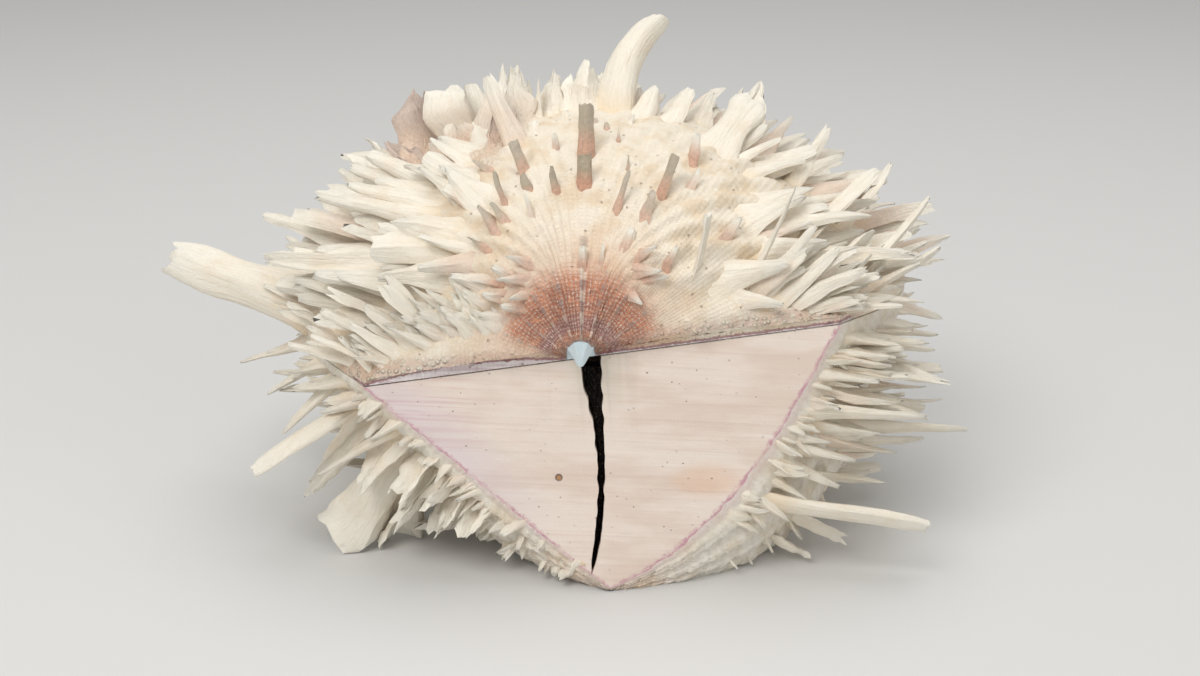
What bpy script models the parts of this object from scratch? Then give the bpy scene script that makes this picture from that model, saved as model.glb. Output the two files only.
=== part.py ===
# A closed spiny oyster shell, 100 mm across its hinge, lying on the scar by which it once grew.
#
# It is drawn in millimetres and built in metres: +X is the right of the hinge face, -Y is out of
# that face and +Z is up. Both valves grow as a fan. A place on a valve is its fan angle, from 0 at
# the right hinge corner round the back to 180 at the left one, and its reach, from 0 at the beak
# or the apex to 1 at the margin where the valves meet.

import math
import random

import bmesh
import bpy
import numpy as np

MM = 0.001

# Driving sizes.
HINGE_RIGHT = (50, -50, 59)
HINGE_LEFT = (-50, -50, 45)
MARGIN_BETWEEN = [
    (64, -30, 57), (72, 0, 54), (66, 35, 53), (42, 62, 54), (5, 73, 55),
    (-35, 64, 53), (-62, 38, 50), (-71, 2, 48), (-64, -28, 46),
]
MARGIN_MIDDLE = (0, 10)
BEAK = (-4, -54, 54.5)
BEAK_HOOK = (0, -2.5, -4.5)
BEAK_HOOK_REACH = 0.1
APEX = (2, -57, 2.5)
HINGE_MIDDLE_HEIGHT = 52
DOME_HEIGHT = 38
BOWL_DEPTH = 20
RIM_WIDTH = 5.5
LIP_HEIGHT = 1.6
VALVE_GAP = 0.3
INNER_BEAK = (-4, -37, 58)
INNER_APEX = (2, -45, 14)
DOME_THICKNESS = 5
BOWL_THICKNESS = 3

# Each valve is a globe of columns and rows: the rows run out over its outer face to the margin,
# across the rim, and back over its inner face.
MARGIN_COLUMNS = 48
HINGE_COLUMNS = 8
OUTER_ROWS = 9
INNER_ROWS = 4
RIB_HEIGHT = 0.7

# The slit of the hinge face, from the hinge down: middle x, height z and width.
SLIT = [(-2.1, 62, 4.8), (-1.8, 48, 4.2), (-0.4, 38, 2.4), (0.3, 27, 1.5), (-0.2, 16, 1.5), (-1.7, 6, 1.0)]
SLIT_STEPS = 12
SLIT_DEPTH = 5
LIGAMENT_DEPTH = 1.8
LIGAMENT_START = 0.19
LIGAMENT_END = 0.985

# Single spines, each set where it stands: fan angle, reach, length, width, bearing and rise. A
# bearing of 0 points right and 90 to the back, and a rise of 90 points up.
UPPER_SPINES = [
    # over the beak
    (92, 0.15, 8, 3.2, 90, 75), (92, 0.21, 12, 4.0, 90, 80), (44, 0.22, 9, 3.0, 30, 65),
    (41, 0.17, 6, 2.6, 30, 65), (66, 0.13, 9, 2.2, 40, 65), (109, 0.15, 7, 2.2, 150, 75),
    (140, 0.24, 7, 2.2, 160, 70), (121, 0.23, 8, 2.8, 150, 65), (50, 0.33, 6, 3.0, 60, 70),
    # along the hinge, right and left
    (6, 0.40, 14, 3.8, 20, 78), (7, 0.60, 21, 3.6, 10, 66), (6, 0.64, 16, 3.6, 5, 48),
    (176, 0.62, 14, 4.4, 178, 46), (171, 0.73, 15, 4.0, 172, 20), (173, 0.81, 14, 4.0, 177, 22),
    (176, 0.91, 13, 3.8, 180, 22), (173, 0.56, 8, 3.0, 175, 35), (177, 0.48, 8, 2.6, 180, 30),
    (177, 0.35, 6, 2.4, 180, 15),
    # right flank
    (20, 0.67, 25, 6.5, 40, 25), (14, 0.90, 27, 4.8, 40, 32), (16, 0.95, 19, 4.4, 30, 18),
    (30, 0.78, 22, 5.0, 50, 30), (38, 0.60, 20, 5.0, 55, 30),
    # skyline, right to left
    (52, 0.40, 21, 9.0, 60, 20), (71, 0.41, 11, 5.0, 60, 27), (78, 0.38, 11, 5.0, 70, 24),
    (84, 0.41, 26, 8.6, 60, 44), (105, 0.40, 10, 2.4, 90, 50), (116, 0.30, 20, 4.8, 120, 39),
    # left flank
    (137, 0.51, 17, 6.0, 150, 10), (158, 0.62, 27, 8.0, 165, -6), (151, 0.46, 29, 5.2, 160, 4),
    (146, 0.46, 22, 5.0, 158, 3), (139, 0.55, 18, 5.0, 152, 6), (150, 0.72, 26, 5.4, 160, 8),
    (140, 0.94, 41, 8.5, 160, 4),
]
UPPER_BLADES = [
    (94, 0.40, 10, 8, 85, 35), (100, 0.42, 9, 7, 90, 35), (115, 0.38, 18, 9, 90, 46),
    (123, 0.49, 17, 11, 100, 42), (130, 0.57, 19, 10, 105, 42), (60, 0.55, 14, 9, 70, 35),
]
LOWER_SPINES = [
    # left flank
    (150, 0.93, 21, 4.6, 165, -19), (160, 0.95, 16, 4.2, 170, -32), (167, 0.95, 18, 4.2, 180, -46),
    (168, 0.86, 28, 4.8, 190, -31), (171, 0.76, 19, 4.0, 185, -30),
    # right flank
    (12, 0.93, 16, 4.4, 15, -10), (7, 0.88, 23, 6.0, 8, -12), (6, 0.81, 22, 4.4, 4, -18),
    (4, 0.74, 24, 4.2, 356, 0), (15, 0.70, 29, 4.4, 10, -5), (24, 0.64, 18, 4.4, 10, 2),
    (4, 0.66, 7, 3.0, 0, -8), (4, 0.58, 13, 3.8, 356, -24), (8, 0.45, 34, 5.2, 356, -7),
    (4, 0.46, 9, 3.4, 0, -42), (4, 0.37, 6, 3.0, 0, -36),
    # the stumps that it leans on at the back
    (66, 0.52, 24, 6.5, 60, -74), (116, 0.54, 24, 6.5, 120, -72), (42, 0.50, 18, 6.0, 30, -66),
]
LOWER_BLADES = [
    # the foot, and the frills under the left edge of the hinge face
    (169, 0.68, 40, 13, 141, -56), (160, 0.55, 26, 9, 150, -56), (175, 0.60, 10, 6, 200, -50),
    (176, 0.50, 9, 5, 200, -50), (176, 0.40, 8, 5, 200, -50), (176, 0.30, 6, 5, 210, -40),
    # the frills under the right flank
    (22, 0.42, 12, 6, 5, -22), (26, 0.35, 8, 5, 350, -24), (28, 0.27, 7, 5, 330, -20),
]

# Rows of spines over the rest of each valve.
FIELD_RIBS = 15
UPPER_FIELD_REACHES = (0.56, 0.78, 0.94)
LOWER_FIELD_REACHES = (0.5, 0.7, 0.9)
FIELD_LENGTH = (15, 27)
FIELD_WIDTH = (4.2, 7.0)
FIELD_LIFT = (22, 40)
FIELD_CLEARANCE = 7
SPINE_SIDES = 5
MARGIN_CLEARANCE = 0.6
SPINE_SINK = 2.5
SPINE_BEND = -0.04
BLADE_THICKNESS = 0.32
SPINE_THICKNESS = 0.75


def follow(points, share):
    # A smooth curve through the points, read at a share of its run.
    points = np.array(points, float)
    place = min(max(share, 0.0), 1.0) * (len(points) - 1)
    i = min(int(place), len(points) - 2)
    u = place - i
    before = points[i - 1] if i > 0 else 2 * points[0] - points[1]
    after = points[i + 2] if i + 2 < len(points) else 2 * points[-1] - points[-2]
    a, b = points[i], points[i + 1]
    return 0.5 * (
        2 * a + (b - before) * u + (2 * before - 5 * a + 4 * b - after) * u ** 2
        + (3 * a - before - 3 * b + after) * u ** 3
    )


def margin(fan):
    # The edge where the valves meet, and past 180 degrees the straight hinge back to its start.
    if fan <= 180:
        return follow([HINGE_RIGHT, *MARGIN_BETWEEN, HINGE_LEFT], fan / 180)
    share = (fan - 180) / 180
    return np.array(HINGE_LEFT) * (1 - share) + np.array(HINGE_RIGHT) * share


def inner_margin(fan):
    edge = margin(fan)
    inward = np.array([*MARGIN_MIDDLE, edge[2]]) - edge
    return edge + inward * RIM_WIDTH / np.linalg.norm(inward)


def fan_height(fan):
    return abs(math.sin(math.radians(fan))) if fan < 180 else 0.0


def rib(fan, reach):
    if fan > 180:
        return 0.0
    crest = math.cos(math.radians(fan) * MARGIN_COLUMNS)
    return RIB_HEIGHT * crest * min(1.0, 3 * reach) * (1 - reach ** 4)


def dome_rise(reach):
    return math.sin(math.pi * reach ** 0.72) ** 0.85 if 0 < reach < 1 else 0.0


def upper_outside(fan, reach):
    point = np.array(BEAK) + (margin(fan) - BEAK) * reach
    point[2] += DOME_HEIGHT * fan_height(fan) ** 0.55 * dome_rise(reach)
    return point + np.array(BEAK_HOOK) * math.exp(-(reach / BEAK_HOOK_REACH) ** 2)


def upper_inside(fan, reach):
    point = np.array(INNER_BEAK) + (inner_margin(fan) - INNER_BEAK) * reach
    height = (DOME_HEIGHT - DOME_THICKNESS) * fan_height(fan) ** 0.55
    point[2] += height * dome_rise(reach)
    return point


def bowl_swell(fan, reach, less):
    # The bowl swells out and down, more on its right than on its left.
    across = math.cos(math.radians(min(fan, 180)))
    high = fan_height(fan)
    way = np.array([0.8 * across, 0.15 * high, -(0.55 + 0.45 * high)])
    depth = 3.5 * (1 + across) + (BOWL_DEPTH + 5 * across) * high ** 0.7
    if fan >= 180 or reach <= 0:
        return np.zeros(3)
    return way / np.linalg.norm(way) * max(depth - less, 0) * math.sin(math.pi * min(reach, 1) ** 0.8)


def lower_outside(fan, reach):
    return np.array(APEX) + (margin(fan) - APEX) * reach + bowl_swell(fan, reach, 0)


def lower_inside(fan, reach):
    reach_out = inner_margin(fan) - INNER_APEX
    return np.array(INNER_APEX) + reach_out * reach + bowl_swell(fan, reach, BOWL_THICKNESS)


def slope_at(outside, fan, reach, side):
    # The way out along the rib, and the way straight out of the face: side is 1 above and -1 below.
    step = 0.01
    along = outside(fan, min(reach + step, 1)) - outside(fan, reach - step)
    across = outside(min(fan + 2, 180), reach) - outside(max(fan - 2, 0), reach)
    out = np.cross(along, across) * side
    return along / np.linalg.norm(along), out / np.linalg.norm(out)


def heading(bearing, rise):
    bearing, rise = math.radians(bearing), math.radians(rise)
    flat = math.cos(rise)
    return np.array([flat * math.cos(bearing), flat * math.sin(bearing), math.sin(rise)])


def limits_at(fan, side):
    # The lowest and highest that a spine may reach, so that it keeps to its own valve's side.
    height = margin(fan)[2] + side * MARGIN_CLEARANCE
    return (height, math.inf) if side > 0 else (-math.inf, height)


def spines_of(outside, side, spines, blades):
    # Each spine as its root, the way it points, its length, width, thickness and limits.
    grown = []
    for thickness, group in ((SPINE_THICKNESS, spines), (BLADE_THICKNESS, blades)):
        for fan, reach, length, width, bearing, rise in group:
            root, aim = outside(fan, reach), heading(bearing, rise)
            grown.append((root, aim, length, width, thickness, limits_at(fan, side)))
    return grown


def field_of(outside, reaches, side, grown, seed):
    # Spines in rows on the ribs, wherever no single spine already stands.
    pick = random.Random(seed)
    field = []
    for k in range(FIELD_RIBS):
        for reach in reaches:
            fan = 180 * (k + 0.5 + pick.uniform(-0.3, 0.3)) / FIELD_RIBS
            share = reach + pick.uniform(-0.05, 0.02)
            length = pick.uniform(*FIELD_LENGTH)
            width = pick.uniform(*FIELD_WIDTH)
            lift = math.radians(pick.uniform(*FIELD_LIFT))
            root = outside(fan, share)
            if any(np.linalg.norm(root - other[0]) < FIELD_CLEARANCE for other in grown):
                continue
            along, out = slope_at(outside, fan, share, side)
            aim = along * math.cos(lift) + out * math.sin(lift)
            level = 0.12 if side > 0 else -0.12
            if (aim[2] - level) * side < 0:
                aim[2] = level
            aim = aim / np.linalg.norm(aim)
            field.append((root, aim, length, width, SPINE_THICKNESS, limits_at(fan, side)))
    return field


def new_object(name, mesh_builder, collection):
    mesh = bpy.data.meshes.new(name)
    bm = bmesh.new()
    mesh_builder(bm)
    for vertex in bm.verts:
        vertex.co *= MM
    bmesh.ops.recalc_face_normals(bm, faces=bm.faces)
    bm.to_mesh(mesh)
    bm.free()
    thing = bpy.data.objects.new(name, mesh)
    collection.objects.link(thing)
    return thing


def valve_builder(outside, inside, side):
    # The outer rows end at a blunt lip, and the rim inside it is what faces the other valve.
    columns = MARGIN_COLUMNS + HINGE_COLUMNS
    rows = OUTER_ROWS + 2 + INNER_ROWS

    def build(bm):
        bmesh.ops.create_uvsphere(bm, u_segments=columns, v_segments=rows, radius=1)
        for vertex in bm.verts:
            turn = math.atan2(vertex.co.y, vertex.co.x) % math.tau
            column = round(turn / math.tau * columns) % columns
            row = round(math.acos(max(-1, min(1, vertex.co.z))) / math.pi * rows)
            if column <= MARGIN_COLUMNS:
                fan = 180 * column / MARGIN_COLUMNS
            else:
                fan = 180 + 180 * (column - MARGIN_COLUMNS) / HINGE_COLUMNS
            above = VALVE_GAP / 2
            if row <= OUTER_ROWS:
                reach = row / OUTER_ROWS
                point = outside(fan, reach)
                above += LIP_HEIGHT + rib(fan, reach)
            elif row == OUTER_ROWS + 1:
                point = margin(fan)
            else:
                point = inside(fan, (rows - row) / INNER_ROWS)
            vertex.co = point + np.array([0, 0, side * above])

    return build


def spine_builder(root, aim, length, width, thickness, limits):
    # A straight post of two bands, one unit high, bent to the spine's own form.
    side = np.cross(aim, (0.01, 0, 1))
    side = side / np.linalg.norm(side)
    over = np.cross(side, aim)

    def build(bm):
        bmesh.ops.create_cone(bm, cap_ends=True, segments=SPINE_SIDES, radius1=1, radius2=1, depth=1)
        sides = [edge for edge in bm.edges if abs(edge.verts[0].co.z - edge.verts[1].co.z) > 0.5]
        bmesh.ops.subdivide_edges(bm, edges=sides, cuts=1)
        for vertex in bm.verts:
            share = vertex.co.z + 0.5
            wide = width / 2 * (1.25 - 0.5 * share - 0.25 * share ** 2)
            centre = root + aim * (share * (length + SPINE_SINK) - SPINE_SINK)
            centre = centre + over * length * SPINE_BEND * 4 * share * (1 - share)
            place = centre + side * vertex.co.x * wide + over * vertex.co.y * wide * thickness
            vertex.co = (place[0], place[1], min(max(place[2], limits[0]), limits[1]))

    return build


def grow_spines(name, grown):
    collection = new_collection(name)
    for number, spine in enumerate(grown):
        thing = new_object(f"{name}_{number}", spine_builder(*spine), collection)
        hide_cutter(thing)
    return collection


def slit_builder(spare, front, back, start, end):
    # A curved wedge behind the hinge face, narrower than the slit by spare on each side. It runs
    # from one share of the slit's length to another.
    def build(bm):
        bmesh.ops.create_grid(bm, x_segments=1, y_segments=SLIT_STEPS, size=1)
        for vertex in bm.verts:
            share = start + (end - start) * (1 - vertex.co.y) / 2
            middle, height, width = follow(SLIT, share)
            face = APEX[1] + (HINGE_LEFT[1] - APEX[1]) * height / HINGE_MIDDLE_HEIGHT
            vertex.co = (middle + vertex.co.x * (width / 2 - spare), face + front, height)
        extruded = bmesh.ops.extrude_face_region(bm, geom=bm.faces[:])["geom"]
        moved = [part for part in extruded if isinstance(part, bmesh.types.BMVert)]
        bmesh.ops.translate(bm, verts=moved, vec=(0, back - front, 0))

    return build


def ground_builder(bm):
    bmesh.ops.create_cube(bm, size=400)
    bmesh.ops.translate(bm, verts=bm.verts, vec=(0, 0, -200))


def hide_cutter(thing):
    thing.hide_render = True
    thing.display_type = "WIRE"


def join_spines(valve, collection):
    modifier = valve.modifiers.new("grown spines", "BOOLEAN")
    modifier.operation = "UNION"
    modifier.operand_type = "COLLECTION"
    modifier.collection = collection


def cut_away(thing, cutter):
    hide_cutter(cutter)
    modifier = thing.modifiers.new(cutter.name, "BOOLEAN")
    modifier.operation = "DIFFERENCE"
    modifier.object = cutter


def paint(thing, colour, roughness):
    material = bpy.data.materials.new(thing.name)
    material.use_nodes = True
    shader = material.node_tree.nodes["Principled BSDF"]
    shader.inputs["Base Color"].default_value = (*colour, 1)
    shader.inputs["Roughness"].default_value = roughness
    shader.inputs["Metallic"].default_value = 0
    thing.data.materials.append(material)


def new_collection(name):
    collection = bpy.data.collections.new(name)
    bpy.context.scene.collection.children.link(collection)
    return collection


def centre_on_box(things, anchor):
    # Moves the whole shell so that the middle of its box, at its foot, is the origin.
    depsgraph = bpy.context.evaluated_depsgraph_get()
    corners = np.array([
        vertex.co[:] for thing in things for vertex in thing.evaluated_get(depsgraph).data.vertices
    ])
    low, high = corners.min(axis=0), corners.max(axis=0)
    anchor.location = (-(low[0] + high[0]) / 2, -(low[1] + high[1]) / 2, -low[2])


def main():
    for thing in list(bpy.data.objects):
        bpy.data.objects.remove(thing, do_unlink=True)
    shell = new_collection("spiny_oyster_shell")
    cutters = new_collection("cutters")

    upper_single = spines_of(upper_outside, 1, UPPER_SPINES, UPPER_BLADES)
    upper_field = field_of(upper_outside, UPPER_FIELD_REACHES, 1, upper_single, 4)
    lower_single = spines_of(lower_outside, -1, LOWER_SPINES, LOWER_BLADES)
    lower_field = field_of(lower_outside, LOWER_FIELD_REACHES, -1, lower_single, 9)

    upper = new_object("upper_valve", valve_builder(upper_outside, upper_inside, 1), shell)
    lower = new_object("lower_valve", valve_builder(lower_outside, lower_inside, -1), shell)
    floor = SLIT_DEPTH - VALVE_GAP
    ligament = new_object(
        "ligament",
        slit_builder(VALVE_GAP, floor - LIGAMENT_DEPTH, floor, LIGAMENT_START, LIGAMENT_END),
        shell,
    )

    slit = new_object("slit", slit_builder(0, -3, SLIT_DEPTH, 0, 1), cutters)
    ground = new_object("ground", ground_builder, cutters)
    join_spines(upper, grow_spines("upper_spines", upper_single + upper_field))
    join_spines(lower, grow_spines("lower_spines", lower_single + lower_field))
    cut_away(lower, slit)
    cut_away(lower, ground)

    paint(upper, (0.80, 0.70, 0.58), 0.6)
    paint(lower, (0.82, 0.74, 0.66), 0.6)
    paint(ligament, (0.03, 0.022, 0.018), 0.8)

    anchor = bpy.data.objects.new("shell_origin", None)
    shell.objects.link(anchor)
    bpy.context.view_layer.update()
    centre_on_box([upper, lower], anchor)
    for thing in list(bpy.data.objects):
        if thing != anchor:
            thing.parent = anchor


main()
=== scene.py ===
# A closed spiny oyster shell, seen from its hinge. The shapes grow in millimetres in the same frame as
# the solids: +X is the right of the hinge face, -Y is out of that face and +Z is up. A place on a valve
# is its fan angle, from 0 at the right hinge corner round the back to 180 at the left one, and its
# reach, from 0 at the beak or the apex to 1 at the margin.

import math
import random

import bmesh
import bpy
import numpy as np
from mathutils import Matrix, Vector, noise


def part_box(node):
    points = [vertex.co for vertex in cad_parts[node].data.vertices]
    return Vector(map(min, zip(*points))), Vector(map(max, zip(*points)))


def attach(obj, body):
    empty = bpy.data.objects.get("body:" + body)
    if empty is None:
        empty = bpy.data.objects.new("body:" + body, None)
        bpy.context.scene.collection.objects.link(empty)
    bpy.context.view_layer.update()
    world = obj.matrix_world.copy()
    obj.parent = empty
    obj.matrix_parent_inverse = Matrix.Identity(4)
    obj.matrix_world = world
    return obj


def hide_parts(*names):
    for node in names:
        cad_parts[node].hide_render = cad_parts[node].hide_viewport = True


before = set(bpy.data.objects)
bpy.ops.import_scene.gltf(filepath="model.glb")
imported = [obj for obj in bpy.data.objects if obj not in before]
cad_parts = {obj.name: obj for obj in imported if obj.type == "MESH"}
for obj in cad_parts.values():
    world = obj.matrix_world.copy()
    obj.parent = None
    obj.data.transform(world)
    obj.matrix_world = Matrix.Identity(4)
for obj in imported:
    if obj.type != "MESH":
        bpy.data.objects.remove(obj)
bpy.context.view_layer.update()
mm = 0.001
noise.seed_set(5)                                # noise_vector's steps are then the same each run
print("frame loaded")

growth = {
    "hingeRight": (50, -50, 59), "hingeLeft": (-50, -50, 45),
    "marginBetween": [
        (64, -30, 57), (72, 0, 54), (66, 35, 53), (42, 62, 54), (5, 73, 55),
        (-35, 64, 53), (-62, 38, 50), (-71, 2, 48), (-64, -28, 46),
    ],
    "marginMiddle": (0, 10),
    "beak": (-4, -54, 54.5), "beakHook": (0, -2.5, -4.5), "beakHookReach": 0.1,
    "apex": (2, -57, 2.5), "hingeMiddleHeight": 52,
    "domeHeight": 38, "bowlDepth": 20, "rimWidth": 5.5, "lipHeight": 1.6, "valveGap": 0.3,
    "innerBeak": (-4, -37, 58), "innerApex": (2, -45, 14), "domeThickness": 5, "bowlThickness": 3,
    "ribs": 24, "ribHeight": 0.7,
    "slit": [                                    # the middle, the height and the width, from its top down
        (-2.1, 62, 4.8), (-1.8, 48, 4.2), (-0.4, 38, 2.4), (0.3, 27, 1.5), (-0.2, 16, 1.5), (-1.7, 6, 1.0),
    ],
    "slitDepth": 5, "ligamentDepth": 1.8, "ligamentStart": 0.19, "ligamentEnd": 0.985, "ligamentSteps": 60,
}


def point(name):
    return np.array(growth[name], float)


def follow(points, share):                       # a smooth curve through the points
    points = np.array(points, float)
    padded = np.vstack([2 * points[0] - points[1], points, 2 * points[-1] - points[-2]])
    place = np.clip(share, 0, 1) * (len(points) - 1)
    start = np.minimum(np.asarray(place).astype(int), len(points) - 2)
    u = (place - start)[..., None]
    before, a, b, after = (padded[start + k] for k in range(4))
    return 0.5 * (
        2 * a + (b - before) * u + (2 * before - 5 * a + 4 * b - after) * u ** 2
        + (3 * a - before - 3 * b + after) * u ** 3
    )


def margin(fan):
    fan = np.asarray(fan, float)
    edge = follow([growth["hingeRight"], *growth["marginBetween"], growth["hingeLeft"]], fan / 180)
    share = ((fan - 180) / 180)[..., None]
    hinge = point("hingeLeft") * (1 - share) + point("hingeRight") * share
    return np.where(fan[..., None] <= 180, edge, hinge)


def innerMargin(fan):
    edge = margin(fan)
    inward = np.zeros_like(edge)
    inward[..., 0] = growth["marginMiddle"][0] - edge[..., 0]
    inward[..., 1] = growth["marginMiddle"][1] - edge[..., 1]
    return edge + inward * growth["rimWidth"] / np.linalg.norm(inward, axis=-1, keepdims=True)


def fanHeight(fan):
    return np.where(fan < 180, np.abs(np.sin(np.radians(fan))), 0)


def domeRise(fan, reach, height):
    swell = np.sin(math.pi * np.clip(reach, 0, 1) ** 0.72)
    return height * fanHeight(fan) ** 0.55 * np.maximum(swell, 0) ** 0.85


def upperOutside(fan, reach):
    place = point("beak") + (margin(fan) - point("beak")) * reach[..., None]
    place[..., 2] += domeRise(fan, reach, growth["domeHeight"])
    narrowed = growth["beakHookReach"] * (0.45 + 0.55 * fanHeight(fan))
    hook = np.exp(-(reach / narrowed) ** 2)[..., None]
    return place + point("beakHook") * hook


def upperInside(fan, reach):
    place = point("innerBeak") + (innerMargin(fan) - point("innerBeak")) * reach[..., None]
    place[..., 2] += domeRise(fan, reach, growth["domeHeight"] - growth["domeThickness"])
    return place


def bowlSwell(fan, reach, less=0):               # out and down, more on the right than on the left
    across = np.cos(np.radians(np.minimum(fan, 180)))
    high = fanHeight(fan)
    way = np.stack([0.8 * across, 0.15 * high, -(0.55 + 0.45 * high)], -1)
    way = way / np.linalg.norm(way, axis=-1, keepdims=True)
    depth = 3.5 * (1 + across) + (growth["bowlDepth"] + 5 * across) * high ** 0.7
    depth = np.maximum(depth - less, 0) * np.sin(math.pi * np.clip(reach, 0, 1) ** 0.8)
    return way * np.where(fan < 180, depth, 0)[..., None]


def lowerOutside(fan, reach):
    return point("apex") + (margin(fan) - point("apex")) * reach[..., None] + bowlSwell(fan, reach)


def lowerInside(fan, reach):
    place = point("innerApex") + (innerMargin(fan) - point("innerApex")) * reach[..., None]
    return place + bowlSwell(fan, reach, growth["bowlThickness"])


def slopeAt(outside, fan, reach, side):          # out along the rib, across it, and out of the face
    fan, reach = np.array([fan, fan, min(fan + 2, 180), max(fan - 2, 0)], float), np.array(
        [min(reach + 0.01, 1), reach - 0.01, reach, reach])
    ends = outside(fan, reach)
    along, across = ends[0] - ends[1], ends[2] - ends[3]
    out = np.cross(along, across) * side
    return tuple(v / np.linalg.norm(v) for v in (along, across, out))


def seamHeight(x):                               # of the line where the two valves meet at the hinge
    left, right = point("hingeLeft"), point("hingeRight")
    return left[2] + (right[2] - left[2]) * np.clip((x - left[0]) / (right[0] - left[0]), 0, 1)


def smooth(low, high, value):
    share = np.clip((value - low) / (high - low), 0, 1)
    return share * share * (3 - 2 * share)


def grain(places, size, octaves=3):              # soft noise from -1 to 1, with marks of that size in mm
    return np.array([noise.fractal(Vector(place) / size, 1.0, 2.0, octaves) for place in places])


def faceDepth(height):                           # how far back the plane of the hinge face is there
    apex = point("apex")[1]
    return apex + (point("hingeLeft")[1] - apex) * height / growth["hingeMiddleHeight"]


def frameShift():                                # from the growth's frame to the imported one, in mm
    shares = np.linspace(growth["ligamentStart"], growth["ligamentEnd"], growth["ligamentSteps"])
    middle, height, width = follow(growth["slit"], shares).T
    left = (middle - width / 2 + growth["valveGap"]).min()
    low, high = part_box("ligament")
    back = (faceDepth(height) + growth["slitDepth"] - growth["valveGap"]).max()
    return np.array([low.x / mm - left, high.y / mm - back, 0])


shift = frameShift()
print("shift from the growth to the frame, mm", shift.round(3))


sharpFold = math.radians(42)


def finished(name, bm, replaced=None):
    for vertex in bm.verts:
        vertex.co = (vertex.co + Vector(shift)) * mm
    for face in bm.faces:
        face.smooth = True
    for edge in bm.edges:                        # stays sharp at a fold and where a finish ends
        sides = {face.material_index for face in edge.link_faces}
        edge.smooth = len(sides) == 1 and edge.calc_face_angle(0) < sharpFold
    mesh = bpy.data.meshes.new(name)
    bm.to_mesh(mesh)
    bm.free()
    piece = bpy.data.objects.new(name, mesh)
    bpy.context.scene.collection.objects.link(piece)
    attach(piece, "root")
    if replaced:
        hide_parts(replaced)
    print(name, len(mesh.polygons), "faces")
    return piece


def remember(bm, name, values):                  # a point attribute that a material reads
    layer = bm.verts.layers.float_vector.get(name) or bm.verts.layers.float_vector.new(name)
    for vertex, value in zip(bm.verts, values):
        vertex[layer] = value


# Finishes

class Wire:
    # A node's output that Python's operators work on.
    def __init__(self, finish, socket):
        self.finish, self.socket = finish, socket

    def math(self, operation, first, second=0.0):
        return self.finish.add("ShaderNodeMath", {"operation": operation}, {0: first, 1: second})

    def __add__(self, other):
        return self.math("ADD", self, other)

    def __sub__(self, other):
        return self.math("SUBTRACT", self, other)

    def __rsub__(self, other):
        return self.math("SUBTRACT", other, self)

    def __mul__(self, other):
        return self.math("MULTIPLY", self, other)

    def __truediv__(self, other):
        return self.math("DIVIDE", self, other)

    def __pow__(self, other):
        return self.math("POWER", self, other)

    def __abs__(self):
        return self.math("ABSOLUTE", self)

    __radd__ = __add__
    __rmul__ = __mul__

    def wave(self):                              # from 0 to 1 and back
        return (self.math("SINE", self) + 1) * 0.5

    def most(self, other):
        return self.math("MAXIMUM", self, other)

    def between(self, low, high):                # 0 below low, 1 above high and smooth between
        return self.finish.add(
            "ShaderNodeMapRange", {"interpolation_type": "SMOOTHSTEP"},
            {"Value": self, "From Min": low, "From Max": high},
        )

    def clamped(self):
        return self.finish.add("ShaderNodeClamp", {}, {"Value": self})


class Finish:
    # One material, whose nodes come from add.
    def __init__(self, name, settings):
        self.material = bpy.data.materials.new(name)
        self.material.use_nodes = True
        self.tree = self.material.node_tree
        self.shader = self.tree.nodes["Principled BSDF"]
        for socket, value in settings.items():
            self.shader.inputs[socket].default_value = value
        coordinates = self.add("ShaderNodeTexCoord", {}, {}, "Object")
        self.place = self.add(                   # in mm
            "ShaderNodeVectorMath", {"operation": "SCALE"}, {0: coordinates, "Scale": 1 / mm})

    def add(self, kind, settings, sockets, output=0):
        node = self.tree.nodes.new(kind)
        for name, value in settings.items():
            setattr(node, name, value)
        for name, value in sockets.items():
            self.join(node.inputs[name], value)
        return Wire(self, node.outputs[output])

    def join(self, socket, value):
        if isinstance(value, Wire):
            self.tree.links.new(value.socket, socket)
        elif socket.type == "RGBA":
            socket.default_value = (*value, 1)
        else:
            socket.default_value = value

    def attribute(self, name):
        vector = self.add("ShaderNodeAttribute", {"attribute_name": name}, {}, "Vector")
        parts = [self.add("ShaderNodeSeparateXYZ", {}, {0: vector}, axis) for axis in range(3)]
        return vector, *parts

    def joined(self, *parts):
        return self.add("ShaderNodeCombineXYZ", {}, dict(enumerate(parts)))

    def stretched(self, vector, scale):
        return self.add("ShaderNodeVectorMath", {"operation": "MULTIPLY"}, {0: vector, 1: scale})

    def noise(self, vector, scale, detail=3, rough=0.55):
        return self.add("ShaderNodeTexNoise", {}, {
            "Vector": vector, "Scale": scale, "Detail": detail, "Roughness": rough,
        }, "Fac")

    def cells(self, vector, scale, feature="F1"):
        return self.add(
            "ShaderNodeTexVoronoi", {"feature": feature}, {"Vector": vector, "Scale": scale}, "Distance")

    def mix(self, share, first, second):
        return self.add("ShaderNodeMix", {"data_type": "RGBA"}, {0: share, 6: first, 7: second}, 2)

    def bump(self, height, depth):
        return self.add("ShaderNodeBump", {}, {"Height": height, "Distance": depth * mm, "Strength": 1.0})

    def done(self, colour, roughness, normal):
        for name, value in (("Base Color", colour), ("Roughness", roughness), ("Normal", normal)):
            self.join(self.shader.inputs[name], value)
        return self.material


def tint(red, green, blue):                      # a screen colour as Blender's linear one
    return tuple(((v / 255 + 0.055) / 1.055) ** 2.4 if v > 10 else v / 3295 for v in (red, green, blue))


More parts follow.
